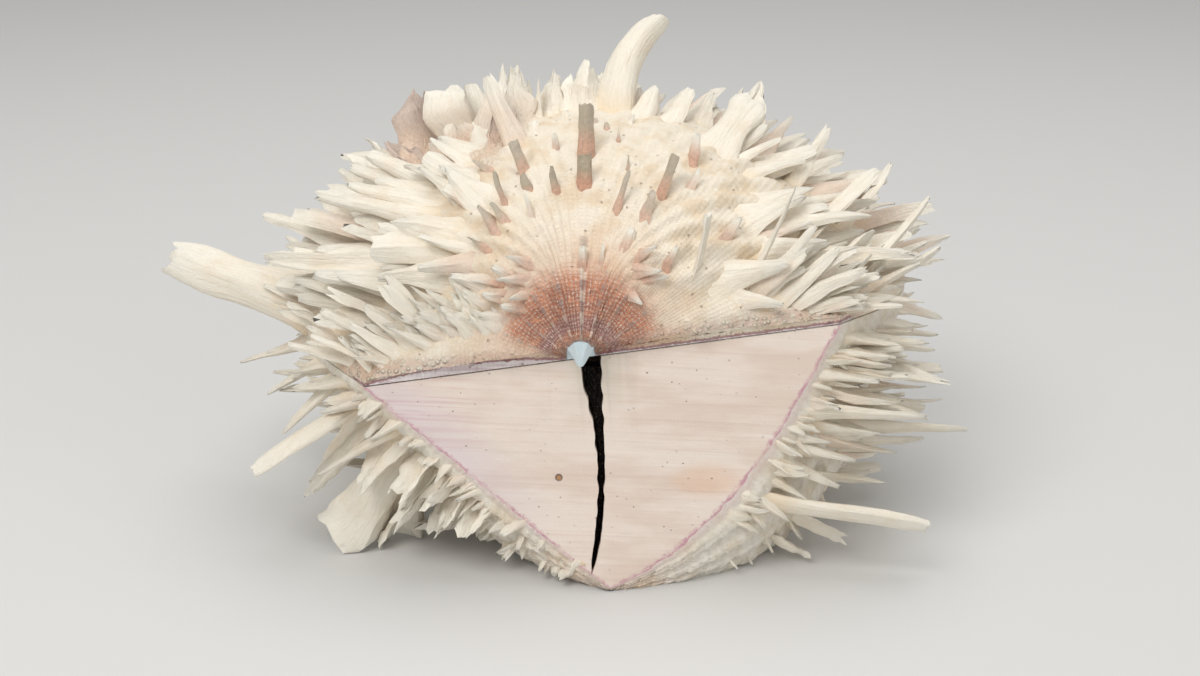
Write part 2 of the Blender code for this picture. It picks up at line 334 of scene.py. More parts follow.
umbo = {
    "full": 17, "gone": 24, "narrow": 1.2, "viewedDown": 20, "beakPatch": 3.1, "patchHeight": 2.5,
    "riblets": 58, "ringSpacing": 0.85, "bandAt": 9.5, "strongRibs": 11, "nodeSpacing": 3.3,
    "centreRib": 0.508, "centreNodes": 4.6, "brokenAt": (0.71, 0.46), "brokenSize": (0.085, 0.17),
    "cream": tint(238, 229, 212), "warm": tint(228, 209, 182), "peach": tint(226, 196, 172),
    "brick": tint(168, 110, 88), "net": tint(240, 222, 206), "purple": tint(146, 106, 110),
    "orange": tint(210, 140, 104), "beak": tint(202, 216, 221), "beakRim": tint(150, 128, 116),
    "node": tint(160, 146, 142), "pink": tint(210, 172, 162), "broken": tint(188, 154, 138),
    "streak": tint(212, 188, 152), "strip": tint(238, 230, 230), "stripShade": tint(214, 198, 200),
    "stripEdge": tint(146, 100, 108),
}


def umboNet(f, radial, distance, spread, wander, fine, tiny):
    # Brick-brown cells in a pale net, with a purple band and beaded ribs.
    riblets = (radial * (umbo["riblets"] * math.tau) + wander * 0.25 + fine * 3).wave()
    rings = (distance * (math.tau / umbo["ringSpacing"]) + wander * 3 + fine * 12).wave()
    granules = tiny.between(0.36, 0.62)
    net = (riblets ** 2 * (rings * 0.8 + 0.2)).most(rings ** 3 * 0.4) * (granules * 0.9 + 0.2)
    brick = f.mix(f.noise(f.place, 0.7, 3).between(0.45, 0.75), umbo["brick"], umbo["orange"])
    brick = f.mix(spread.between(14, 20) * 0.5, brick, umbo["orange"])
    band = 1 - abs(spread + wander * 0.4 - umbo["bandAt"]).between(0.6, 2.6)
    brick = f.mix(band * 0.65, brick, umbo["purple"])
    painted = f.mix(net.clamped(), brick, umbo["net"])
    turned = (0.25 - umbo["strongRibs"] / 2) * math.tau
    strong = (radial * (umbo["strongRibs"] * math.tau) + turned).wave()
    beads = (distance * (math.tau / umbo["nodeSpacing"]) + wander * 0.3).wave()
    ribTint = f.mix(spread.between(8, 15), umbo["net"], umbo["node"])
    shown = strong.between(0.90, 1.0) * (0.15 + beads.between(0.4, 0.95) * 0.5)
    return f.mix(shown, painted, ribTint), riblets * rings


def paleStrip(f, colour, rise, stripHeight, wander, fine):
    # The strip over the hinge, and the thin dark line above it.
    above = rise - stripHeight + wander * 0.12 + (fine - 0.5) * 1.2
    shade = f.noise(f.stretched(f.place, (0.1, 0.3, 1.6)), 1.0, 4).between(0.4, 0.65)
    strip = f.mix(shade, umbo["strip"], umbo["stripShade"])
    colour = f.mix(1 - above.between(-0.1, 0.1), colour, strip)
    return f.mix((1 - abs(above - 0.15).between(0.1, 0.5)) * 0.8, colour, umbo["stripEdge"])


def upperFinish():
    f = Finish("upperShellFinish", {"IOR": 1.48, "Specular IOR Level": 0.35})
    _, fan, distance, reach = f.attribute("growth")
    _, rise, beakDistance, stripHeight = f.attribute("edges")
    _, radial, spread, _ = f.attribute("umbo")
    soft = f.noise(f.place, 0.16, 4)
    fine = f.noise(f.place, 1.6, 4, 0.7)
    tiny = f.noise(f.place, 5.0, 2, 0.6)
    wander = (f.noise(f.place, 0.45, 3) - 0.5) * 5
    cream = f.mix(soft.between(0.4, 0.7), umbo["cream"], umbo["warm"])
    peachy = (1 - (spread + wander * 2).between(18, 36)) * 0.7
    ground = f.mix(peachy, cream, umbo["peach"])
    specks = tiny.between(0.60, 0.68) * (1 - distance.between(26, 60))
    ground = f.mix(specks * 0.4, ground, umbo["brick"])
    streaks = (radial * (umbo["riblets"] * 2 * math.tau) + wander * 0.35).wave()
    onRight = radial.between(0.58, 0.72)
    ground = f.mix(streaks ** 3 * (0.05 + onRight * 0.15), ground, umbo["streak"])

    painted, cells = umboNet(f, radial, distance, spread, wander, fine, tiny)
    inUmbo = 1 - (spread + wander).between(umbo["full"], umbo["gone"])
    inUmbo = inUmbo * (1 - (abs(radial - 0.5) + wander * 0.01).between(0.33, 0.42))
    colour = f.mix(inUmbo, ground, painted)
    rib = 1 - abs(radial - umbo["centreRib"]).between(0.006, 0.016)
    nodes = (distance * (math.tau / umbo["centreNodes"])).wave()
    ribColour = f.mix(nodes.between(0.3, 0.7), umbo["node"], umbo["cream"])
    colour = f.mix(rib * (1 - distance.between(24, 32)) * (0.35 + fine * 0.4), colour, ribColour)

    (brokenFan, brokenReach), (wide, long) = umbo["brokenAt"], umbo["brokenSize"]
    broken = 1 - (((fan - brokenFan) / wide) ** 2 + ((reach - brokenReach) / long) ** 2).between(0.4, 1.2)
    colour = f.mix(broken * fine.between(0.35, 0.65) * 0.6, colour, umbo["broken"])
    hingeSide = abs(fan - 0.5).between(0.44, 0.48) * (1 - rise.between(3.4, 6.4)) * distance.between(10, 17)
    grains = f.cells(f.place, 0.85)
    colour = f.mix(hingeSide * f.noise(f.place, 0.9, 3).between(0.35, 0.65) * 0.35, colour, umbo["pink"])
    colour = f.mix(hingeSide * grains.between(0.42, 0.62) * 0.45, colour, umbo["broken"])
    colour = paleStrip(f, colour, rise, stripHeight, wander, fine)
    rimOfPatch = 1 - abs(beakDistance + wander * 0.12 - umbo["beakPatch"] - 0.5).between(0.2, 0.8)
    colour = f.mix(rimOfPatch * 0.5, colour, umbo["beakRim"])
    worn = 1 - (beakDistance + wander * 0.12).between(umbo["beakPatch"] - 0.2, umbo["beakPatch"] + 0.2)
    colour = f.mix(worn, colour, umbo["beak"])
    pits = (1 - f.cells(f.place, 0.35).between(0.06, 0.12)) * (1 - worn)
    colour = f.mix(pits * 0.6, colour, umbo["broken"])

    relief = cells * (0.08 + inUmbo * 0.3) + streaks * onRight * 0.15 + fine * 0.6 + soft * 0.8 - pits * 0.6
    relief = relief + hingeSide * (1 - grains.between(0.1, 0.6)) * 1.6
    normal = f.bump(relief * (1 - worn * 0.95), 0.45)
    return f.done(colour, 0.62 - worn * 0.3 + fine * 0.1, normal)


# root is painted shade: a warm, darker colour where each spine meets the shell. The specks use the same
# colour.
spineTints = {
    "white": tint(243, 236, 222), "streak": tint(234, 218, 192), "root": tint(230, 200, 154),
    "tip": tint(240, 238, 228), "orange": tint(216, 158, 128), "brown": tint(184, 144, 124),
    "grey": tint(164, 158, 136),
}
frillTints = {**spineTints, "grey": tint(176, 146, 136), "orange": tint(214, 176, 146)}


def spineFinish(name, colours):
    f = Finish(name, {"IOR": 1.48, "Specular IOR Level": 0.4})
    lay, _, _, _ = f.attribute("lay")
    _, along, chance, tinted = f.attribute("spine")
    striae = f.noise(f.stretched(lay, (1.5, 1.5, 0.10)), 1.0, 4, 0.65)
    fine = f.noise(f.place, 1.3, 4, 0.65)
    broad = f.noise(f.place, 0.14, 3)
    colour = f.mix(striae.between(0.42, 0.76) * 0.5, colours["white"], colours["streak"])
    colour = f.mix(broad.between(0.45, 0.72) * 0.4, colour, colours["streak"])
    # painted shade: warmer and darker towards each spine's root, where it meets the shell
    colour = f.mix((1 - along.between(0.0, 0.34)) * (0.2 + chance * 0.5), colour, colours["root"])
    colour = f.mix(along.between(0.62, 1.0) * 0.5, colour, colours["tip"])
    stained = f.mix(fine.between(0.35, 0.70), colours["orange"], colours["brown"])
    peg = tinted.between(0.55, 0.62)             # pegs are grey at the tip, horns white
    stained = f.mix(along.between(0.35, 0.75) * 0.85 * peg, stained, colours["grey"])
    faded = along.between(0.4, 0.95) * (1 - peg)
    depth = tinted * (0.75 + fine * 0.5) * (1 + (1 - peg) * 0.6) * (1 - faded)
    colour = f.mix(depth.clamped(), colour, stained)
    specks = f.noise(f.place, 2.8, 2).between(0.68, 0.74) * chance
    colour = f.mix(specks * 0.4, colour, colours["root"])
    return f.done(colour, 0.50 + fine * 0.15, f.bump(striae * 1.0 + fine * 0.45, 0.45))


# besideFace is pale pink, partly the shell's pink edge and partly painted light that lifts the shade in the
# crease beside the hinge face
bowl = {
    "ringSpacing": 1.9, "riblets": 72,
    "cream": tint(238, 233, 222), "warm": tint(228, 215, 194), "ring": tint(212, 198, 180),
    "pit": tint(200, 180, 156), "apex": tint(226, 190, 168), "besideFace": tint(238, 214, 212),
}


def lowerFinish():
    f = Finish("lowerShellFinish", {"IOR": 1.48, "Specular IOR Level": 0.3})
    _, fan, distance, _ = f.attribute("growth")
    soft = f.noise(f.place, 0.15, 4)
    fine = f.noise(f.place, 1.4, 4, 0.7)
    colour = f.mix(soft.between(0.4, 0.7), bowl["cream"], bowl["warm"])
    rings = (distance * (math.tau / bowl["ringSpacing"]) + soft * 9).wave()
    riblets = (fan * (bowl["riblets"] * math.tau) + soft * 3).wave()
    colour = f.mix(rings ** 3 * 0.18, colour, bowl["ring"])
    colour = f.mix((1 - fine.between(0.30, 0.46)) * 0.3, colour, bowl["pit"])
    colour = f.mix((1 - distance.between(4, 22)) * 0.30, colour, bowl["apex"])
    # the shell's pink edge colour, made lighter as painted light over the shade in the crease beside the
    # face's edges
    besideFace = 1 - (0.5 - abs(fan - 0.5)).between(0.003, 0.010)
    colour = f.mix(besideFace * (0.2 + fine * 0.4), colour, bowl["besideFace"])
    normal = f.bump(rings * 0.35 + riblets * 0.35 + fine * 0.7, 0.5)
    return f.done(colour, 0.66 + fine * 0.12, normal)


hingeFace = {
    "cream": tint(234, 221, 210), "warm": tint(224, 206, 193), "lilac": tint(212, 198, 208),
    "shade": tint(206, 182, 168), "light": tint(242, 235, 228), "pinkLines": tint(208, 164, 166),
    "uprightLines": tint(196, 186, 172), "edge": tint(190, 136, 154), "dark": tint(72, 54, 48),
    "hole": tint(176, 132, 92), "orange": tint(224, 178, 140), "green": tint(190, 190, 170),
    "wormHole": (-8.8, 25.5), "holeRadius": 0.72, "stain": (23, 25), "stainSize": (9, 4),
}


def faceFinish():
    f = Finish("hingeFaceFinish", {"IOR": 1.5, "Specular IOR Level": 0.4})
    _, edge, _, _ = f.attribute("face")
    centred = f.add("ShaderNodeVectorMath", {"operation": "SUBTRACT"}, {0: f.place, 1: tuple(shift)})
    x, y, z = (f.add("ShaderNodeSeparateXYZ", {}, {0: centred}, axis) for axis in range(3))
    striae = f.noise(f.joined(x * 0.035 + z * 0.3, y * 0.07 + z * 0.25, z * 1.1 + x * 0.04), 1.0, 4, 0.6)
    soft = f.noise(f.stretched(centred, (0.05, 0.05, 0.16)), 1.0, 3)
    upright = f.noise(f.joined(x * 0.4 + z * 0.02, x * 0.31 + y * 0.1, z * 0.03 + x * 0.17), 1.0, 1)
    fine = f.noise(f.place, 2.2, 3)
    colour = f.mix(soft.between(0.38, 0.68), hingeFace["cream"], hingeFace["warm"])
    colour = f.mix(striae.between(0.50, 0.72) * 0.28, colour, hingeFace["shade"])
    colour = f.mix((1 - striae.between(0.28, 0.42)) * 0.30, colour, hingeFace["light"])
    upperLeft = (1 - x.between(-46, -18)) * z.between(22, 40)
    colour = f.mix(upperLeft * striae.between(0.46, 0.62) * 0.6, colour, hingeFace["pinkLines"])
    besideSlit = (1 - abs(x + 1).between(3, 14)) * z.between(30, 48)
    colour = f.mix(besideSlit * upright.between(0.45, 0.6) * 0.3, colour, hingeFace["uprightLines"])
    leftLow = (1 - x.between(-30, -6)) * (1 - edge.between(3, 16))
    colour = f.mix(leftLow * 0.45, colour, hingeFace["lilac"])
    nearSlit = (1 - abs(x + 1).between(2.5, 9)) * z.between(36, 50)
    colour = f.mix(nearSlit * 0.35, colour, hingeFace["green"])
    (stainX, stainZ), (wide, high) = hingeFace["stain"], hingeFace["stainSize"]
    stainAway = ((x - stainX) / wide) ** 2 + ((z - stainZ) / high) ** 2
    colour = f.mix((1 - stainAway.between(0.1, 1.3)) * 0.35, colour, hingeFace["orange"])
    ragged = edge + (f.noise(f.place, 0.9, 4, 0.65) - 0.5) * 2.2
    bitten = f.noise(f.place, 0.25, 2).between(0.30, 0.55)
    colour = f.mix((1 - ragged.between(0.0, 1.0)) * (0.35 + bitten * 0.5), colour, hingeFace["edge"])
    specks = f.cells(f.place, 0.42).between(0.05, 0.10)
    colour = f.mix((1 - specks) * fine.between(0.45, 0.6) * 0.8, colour, hingeFace["dark"])
    holeX, holeZ = hingeFace["wormHole"]
    holeAway = ((x - holeX) ** 2 + (z - holeZ) ** 2) ** 0.5
    hole = 1 - holeAway.between(0.45, 0.75)
    colour = f.mix(hole, colour, hingeFace["hole"])
    holeRim = 1 - abs(holeAway - hingeFace["holeRadius"]).between(0.05, 0.22)
    colour = f.mix(holeRim * 0.6, colour, hingeFace["dark"])
    normal = f.bump(striae * 0.45 + fine * 0.25 - hole * 1.5 + specks * 0.3, 0.30)
    return f.done(colour, 0.44 + fine * 0.14, normal)


driedSlit = {
    "wall": tint(26, 21, 20), "wallLight": tint(74, 60, 50), "wallWorn": tint(120, 104, 88),
    "ligament": tint(20, 17, 17), "ligamentLight": tint(58, 47, 41), "crack": tint(12, 10, 10),
    "dust": tint(190, 184, 174),
}


def slitFinish():
    f = Finish("slitWallFinish", {"IOR": 1.45, "Specular IOR Level": 0.2})
    fine = f.noise(f.place, 1.2, 4)
    streaks = f.noise(f.stretched(f.place, (1, 0.6, 0.2)), 1.0, 3)
    colour = f.mix(fine.between(0.35, 0.7), driedSlit["wall"], driedSlit["wallLight"])
    colour = f.mix(streaks.between(0.55, 0.72) * 0.5, colour, driedSlit["wallWorn"])
    return f.done(colour, 0.8 + fine * 0.1, f.bump(fine + streaks, 0.6))


def ligamentFinish():
    f = Finish("dryLigamentFinish", {"IOR": 1.45, "Specular IOR Level": 0.25})
    fine = f.noise(f.place, 1.6, 5, 0.7)
    cracks = f.cells(f.stretched(f.place, (1, 1, 0.45)), 0.9, "DISTANCE_TO_EDGE")
    dust = f.noise(f.place, 3.2, 2).between(0.68, 0.76)
    colour = f.mix(fine.between(0.35, 0.7), driedSlit["ligament"], driedSlit["ligamentLight"])
    colour = f.mix(1 - cracks.between(0.0, 0.08), colour, driedSlit["crack"])
    colour = f.mix(dust * 0.8, colour, driedSlit["dust"])
    return f.done(colour, 0.78 + fine * 0.15, f.bump(fine * 0.8 + cracks.between(0, 0.2), 0.7))


# Valves

valves = {
    "marginColumns": 360, "hingeColumns": 200, "outerRows": 118, "innerRows": 5, "rowCrowding": 1.55,
    "noseEnds": 6, "noseSmoothing": 30, "rimFrom": 0.965, "rimFlatness": 0.6, "lamellaLevel": 0.3,
}
dome = {
    "beakEnds": (4.5, 9), "umboEnds": (18, 40), "ribletsEnd": (40, 80), "ribletHeight": 0.16,
    "folds": 13, "foldHeight": 0.45, "lumpSize": 9, "lumpHeight": 0.55, "grainSize": 2.6,
    "grainHeight": 0.22, "lamellaStep": 4.2, "flakeSize": 2.0, "flakeHeight": 1.1, "seamWaves": (3.1, 0.35),
}
hingeStrip = {"thin": 0.3, "swell": 2.1, "leftEnds": 0.42, "right": 0.5, "corner": 4, "none": -9}


def globe():                                     # a globe with each vertex's fan angle, row and reach
    columns = valves["marginColumns"] + valves["hingeColumns"]
    rows = valves["outerRows"] + 2 + valves["innerRows"]
    bm = bmesh.new()
    bmesh.ops.create_grid(bm, x_segments=columns, y_segments=rows, size=1)
    joined = []
    for vertex in bm.verts:                      # rolls the grid up, and closes its seam and its poles
        turn, fall = (vertex.co.x + 1) * math.pi, (1 - vertex.co.y) / 2 * math.pi
        if abs(vertex.co.x) > 0.9999 or abs(vertex.co.y) > 0.9999:
            joined.append(vertex)
        vertex.co = (math.sin(fall) * math.cos(turn), math.sin(fall) * math.sin(turn), math.cos(fall))
    bmesh.ops.remove_doubles(bm, verts=joined, dist=1e-6)
    bm.verts.index_update()
    places = np.array([vertex.co for vertex in bm.verts])
    turn = np.arctan2(places[:, 1], places[:, 0]) % math.tau
    column = np.rint(turn / math.tau * columns).astype(int) % columns
    row = np.rint(np.arccos(np.clip(places[:, 2], -1, 1)) / math.pi * rows).astype(int)
    onHinge = column > valves["marginColumns"]
    fan = np.where(
        onHinge, 180 + 180 * (column - valves["marginColumns"]) / valves["hingeColumns"],
        180 * column / valves["marginColumns"],
    )
    reach = np.minimum(row / valves["outerRows"], 1) ** valves["rowCrowding"]
    inner = np.clip((rows - row) / valves["innerRows"], 0, 1)
    return bm, column, row, fan, reach, inner


def layOut(bm, places):
    for vertex, place in zip(bm.verts, places):
        vertex.co = place
    bm.normal_update()
    return np.array([vertex.normal for vertex in bm.verts])


def ribRelief(fan, reach, distance):
    crest = np.cos(np.radians(fan) * 2 * growth["ribs"])
    main = growth["ribHeight"] * crest * np.minimum(1, 3 * reach) * (1 - reach ** 4)
    fine = np.sin(np.radians(fan) * 2 * umbo["riblets"])
    beads = 0.6 + 0.4 * np.sin(distance * math.tau / umbo["ringSpacing"])
    return main, fine * beads


def easedAtRim(reach):
    return 1 - smooth(valves["rimFrom"], 1, reach) * valves["rimFlatness"]


def domeRelief(places, fan, reach, distance, radial):
    main, _ = ribRelief(fan, reach, distance)
    flank = np.abs(np.cos(np.radians(np.minimum(fan, 180))))
    away = smooth(*dome["beakEnds"], distance)
    pastUmbo = smooth(*dome["umboEnds"], distance)
    relief = main * (0.3 + 0.3 * flank)
    strong = np.maximum(np.cos((radial - 0.5) * math.tau * umbo["strongRibs"]), 0) ** 4
    beads = 0.5 + 0.5 * np.sin(distance * math.tau / umbo["nodeSpacing"])
    relief += strong * (0.2 + 0.45 * beads) * away * (1 - pastUmbo)
    rings = 0.6 + 0.4 * np.sin(distance * math.tau / umbo["ringSpacing"])
    riblets = np.sin(radial * math.tau * umbo["riblets"]) * rings * dome["ribletHeight"]
    relief += riblets * away * (1 - pastUmbo * 0.8) * (1 - smooth(*dome["ribletsEnd"], distance))
    folds = np.sin(radial * math.tau * dome["folds"] + grain(places, 16) * 3)
    relief += folds * dome["foldHeight"] * smooth(0.60, 0.75, radial) * smooth(16, 30, distance)
    lumps = grain(places, dome["lumpSize"]) * dome["lumpHeight"]
    relief += lumps * away + grain(places, dome["grainSize"], 2) * dome["grainHeight"] * away
    lamellae = (distance / dome["lamellaStep"] + grain(places, 14) * 0.8) % 1
    onFlank = 0.1 + 0.25 * flank * smooth(0.2, 0.6, reach)
    return relief + (lamellae ** 2 - valves["lamellaLevel"]) * onFlank * away


def stripOver(x, fan):                           # the height of the pale strip, none away from the hinge
    left, right = point("hingeLeft")[0], point("hingeRight")[0]
    along = np.clip((x - left) / (right - left), 0, 1)
    arch = np.sin(math.pi * np.clip(along / hingeStrip["leftEnds"], 0, 1))
    high = hingeStrip["thin"] + hingeStrip["swell"] * arch
    high = np.where(along < hingeStrip["leftEnds"], high, hingeStrip["right"])
    nearHinge = (fan > 180 - hingeStrip["corner"]) | (fan < hingeStrip["corner"])
    return np.where(nearHinge, high, hingeStrip["none"])


def upperValve():
    bm, column, row, fan, reach, inner = globe()
    outer = row <= valves["outerRows"]
    lip = growth["lipHeight"] + growth["valveGap"] / 2
    places = np.where(outer[:, None], upperOutside(fan, reach), upperInside(fan, inner))
    edgeRow = row == valves["outerRows"] + 1
    places[edgeRow] = margin(fan[edgeRow])
    places[:, 2] += np.where(outer, lip, growth["valveGap"] / 2)
    fromBeak = places - (point("beak") + point("beakHook")) - [0, 0, lip]
    distance = np.linalg.norm(fromBeak, axis=1)
    down = math.radians(umbo["viewedDown"])      # its riblets spread in the picture's plane
    upward = fromBeak[:, 2] * math.cos(down) + fromBeak[:, 1] * math.sin(down)
    radial = np.arctan2(fromBeak[:, 0], np.maximum(upward, 1e-3)) / math.pi + 0.5
    spread = np.hypot(fromBeak[:, 0] * umbo["narrow"], upward)
    normals = layOut(bm, places)

    onDome = np.where(outer & (fan <= 180), 1.0, 0.0)
    relief = domeRelief(places, fan, reach, distance, radial) * (onDome * easedAtRim(reach))
    places = places + normals * relief[:, None]
    ragged = np.where(outer & (fan > 180), smooth(0.75, 1.0, reach), 0)
    waveSize, waveHeight = dome["seamWaves"]
    places[:, 1] -= ragged * np.abs(grain(places, dome["flakeSize"])) * dome["flakeHeight"]
    places[:, 2] += ragged * (grain(places, waveSize) * waveHeight)
    layOut(bm, places)

    nose = [vertex for vertex, far in zip(bm.verts, distance) if far < valves["noseEnds"]]
    for _ in range(valves["noseSmoothing"]):
        bmesh.ops.smooth_vert(bm, verts=nose, factor=0.5, use_axis_x=True, use_axis_y=True, use_axis_z=True)
    hingeShare = np.clip((fan - 180) / 180, 0, 1)
    fanShare = np.where(fan > 180, 1 - hingeShare, fan / 180)
    rise = places[:, 2] - seamHeight(places[:, 0])
    beakDistance = np.hypot(fromBeak[:, 0], upward - umbo["patchHeight"])
    remember(bm, "growth", np.stack([fanShare, distance, reach], 1))
    remember(bm, "edges", np.stack([rise, beakDistance, stripOver(places[:, 0], fan)], 1))
    remember(bm, "umbo", np.stack([radial, spread, reach], 1))
    bmesh.ops.recalc_face_normals(bm, faces=bm.faces)
    piece = finished("upperValve", bm, "upper_valve")
    piece.data.materials.append(upperFinish())


slitShape = {
    "columns": 12, "leftColumns": 92, "ragged": 0.35, "bottom": (5.0, 8.5),
    "depths": (0, 0.25, 0.6, 1, 1, 1, 1, 1, 1, 0.6, 0.25, 0),
    "floorShares": (0, 0.02, 0.06, 0.1, 0.3, 0.45, 0.55, 0.7, 0.9, 0.94, 0.98, 1),
}
bowlSkin = {
    "rib": 0.8, "riblet": 0.14, "lumpSize": 8, "lumpHeight": 0.45, "grainSize": 2.4, "grainHeight": 0.16,
    "lamellaStep": 3.6, "lamellaHeight": 0.45, "besideFace": 4, "corner": 2.5,
    "edgeWidth": 1.1, "notchSize": 1.3, "notchOut": 0.55, "notchDown": 0.2,
}


def facePoint(share, reach):                     # share runs from the face's left edge to its right one
    share = share[..., None]
    hinge = point("hingeLeft") * (1 - share) + point("hingeRight") * share
    bowed = bowlSwell(np.zeros_like(reach), reach) * share ** 2
    return point("apex") + (hinge - point("apex")) * reach[..., None] + bowed


def slitAt(height):
    heights = np.array([stop[1] for stop in growth["slit"]][::-1], float)
    steps = np.linspace(0, 1, 80)
    curve = follow(growth["slit"], steps)[::-1]
    middle, width = (np.interp(height, curve[:, 1], curve[:, k]) for k in (0, 2))
    return middle, width * smooth(heights[0] - 1.5, heights[0] + 3, height)


def slitShares(reach, side):                     # where on each row's line the slit's left or right edge lies
    line = np.linspace(0.0, 1.0, 161)
    found = []
    for r in reach:
        row = facePoint(line, np.full_like(line, r))
        middle, width = slitAt(row[:, 2])
        wobble = noise.noise(Vector((r * 21, side * 5.0, 3.1))) * slitShape["ragged"]
        miss = row[:, 0] - (middle + side * (width / 2 + wobble * smooth(0.1, 0.3, r)))
        found.append(np.interp(0, miss, line))
    return np.clip(found, 0.02, 0.98)


def hingeRows(reach, step):                      # face points for each row's reach and hinge column
    steps = np.unique(np.round(reach, 9))
    left, right = slitShares(steps, -1), slitShares(steps, 1)
    rowOf = np.searchsorted(steps, np.round(reach, 9))
    left, right = left[rowOf], right[rowOf]
    first, last = slitShape["leftColumns"], slitShape["leftColumns"] + slitShape["columns"] - 1
    total = valves["hingeColumns"]
    inSlit = np.clip(step - first, 0, slitShape["columns"] - 1)
    across = left + (right - left) * np.array(slitShape["floorShares"])[inSlit]
    share = np.where(step < first, left * step / first, across)
    share = np.where(step > last, right + (1 - right) * (step - last) / (total - last), share)
    place = facePoint(share, reach)
    deep = np.array(slitShape["depths"])[inSlit] * ((step >= first) & (step <= last))
    deep = deep * smooth(*slitShape["bottom"], place[:, 2])
    place[:, 1] += deep * growth["slitDepth"]
    return place, share, deep


def bowlRelief(places, fan, reach, distance):
    main, fine = ribRelief(fan, reach, distance)
    relief = main * bowlSkin["rib"] + fine * bowlSkin["riblet"]
    relief += grain(places, bowlSkin["lumpSize"]) * bowlSkin["lumpHeight"]
    relief += grain(places, bowlSkin["grainSize"], 2) * bowlSkin["grainHeight"]
    lamellae = (distance / bowlSkin["lamellaStep"] + grain(places, 11) * 0.9) % 1
    return relief + (lamellae ** 2 - valves["lamellaLevel"]) * bowlSkin["lamellaHeight"]


def notchedEdge(places, fan, reach, edge, onHinge, outer):
    # How far the face's two long edges stand out to their own side.
    beside = bowlSkin["besideFace"]
    onBowl = np.maximum(1 - smooth(0, beside, fan), 1 - smooth(0, beside, 180 - fan))
    atEdge = np.where(onHinge, 1 - smooth(0, bowlSkin["edgeWidth"], edge), onBowl)
    along = np.stack([reach * 40, places[:, 0] * 0.02, np.zeros_like(reach)], 1)
    notch = grain(along, bowlSkin["notchSize"])
    way = np.where(places[:, 0] > point("apex")[0], 1.0, -1.0)
    return way * (0.35 + notch * 0.9) * atEdge * outer * smooth(0.02, 0.12, reach)


def lowerValve():
    bm, column, row, fan, reach, inner = globe()
    outer = row <= valves["outerRows"]
    lip = growth["lipHeight"] + growth["valveGap"] / 2
    places = np.where(outer[:, None], lowerOutside(fan, reach), lowerInside(fan, inner))
    onHinge = column > valves["marginColumns"]
    step = np.clip(column - valves["marginColumns"], 0, valves["hingeColumns"])
    face, share, deep = hingeRows(reach, step)
    places[outer & onHinge] = face[outer & onHinge]
    edgeRow = row == valves["outerRows"] + 1
    places[edgeRow] = margin(fan[edgeRow])
    places[edgeRow & onHinge] = face[edgeRow & onHinge]
    places[:, 2] -= np.where(outer, lip, growth["valveGap"] / 2)
    lift, eased = lip - growth["valveGap"] / 2, smooth(0, 1, reach)
    hingeLip, onBowl = outer & onHinge, outer & ~onHinge
    places[hingeLip, 2] += lift * eased[hingeLip]
    corner = bowlSkin["corner"]
    nearCorner = np.maximum(1 - fan / corner, 0) + np.maximum(1 - (180 - fan) / corner, 0)
    places[onBowl, 2] += lift * (eased * np.clip(nearCorner, 0, 1))[onBowl]
    distance = np.linalg.norm(places - point("apex"), axis=1)
    normals = layOut(bm, places)

    beside = bowlSkin["besideFace"]
    nearFace = smooth(0, beside, fan) * smooth(0, beside, 180 - fan)
    relief = bowlRelief(places, fan, reach, distance) * (onBowl * nearFace * easedAtRim(reach))
    places = places + normals * relief[:, None]
    hingeWidth = point("hingeRight")[0] - point("hingeLeft")[0]
    edge = np.minimum(share * (hingeWidth * reach), (1 - share) * (hingeWidth * reach))
    sideways = notchedEdge(places, fan, reach, edge, onHinge, outer)
    places[:, 0] += sideways * bowlSkin["notchOut"]
    places[:, 2] -= np.abs(sideways) * bowlSkin["notchDown"]
    flat = onHinge & outer & (deep == 0)
    places[:, 1] -= flat * grain(places, 7, 3) * 0.14 * smooth(0.03, 0.1, reach)
    places[:, 1] -= np.where(deep > 0, grain(places, 1.1, 2) * 0.3, 0)
    places[:, 2] = np.maximum(places[:, 2], 0)
    layOut(bm, places)
    hingeShare = np.clip((fan - 180) / 180, 0, 1)
    fanShare = np.where(onHinge, 1 - hingeShare, fan / 180)
    remember(bm, "growth", np.stack([fanShare, distance, reach], 1))
    remember(bm, "face", np.stack([np.where(onHinge, edge, 0), reach, share], 1))
    isFace = (onHinge | (fan == 0) | (fan == 180)) & (row <= valves["outerRows"] + 1)
    for facet in bm.faces:
        corners = [vertex.index for vertex in facet.verts]
        if all(isFace[k] for k in corners):
            facet.material_index = 2 if sum(deep[k] for k in corners) > 0.9 else 1
    bmesh.ops.recalc_face_normals(bm, faces=bm.faces)
    piece = finished("lowerValve", bm, "lower_valve")
    for material in (lowerFinish(), faceFinish(), slitFinish()):
        piece.data.materials.append(material)


ligamentShape = {
    "cuts": ((2, 90), (0, 7), (1, 2)),           # along each axis, in this order
    "crackSize": 1.2, "crackDepth": 0.45, "swell": 0.2,
}


def edgesAlong(bm, axis):                        # of a shape one unit long that way
    return [edge for edge in bm.edges if abs(edge.verts[0].co[axis] - edge.verts[1].co[axis]) > 0.5]


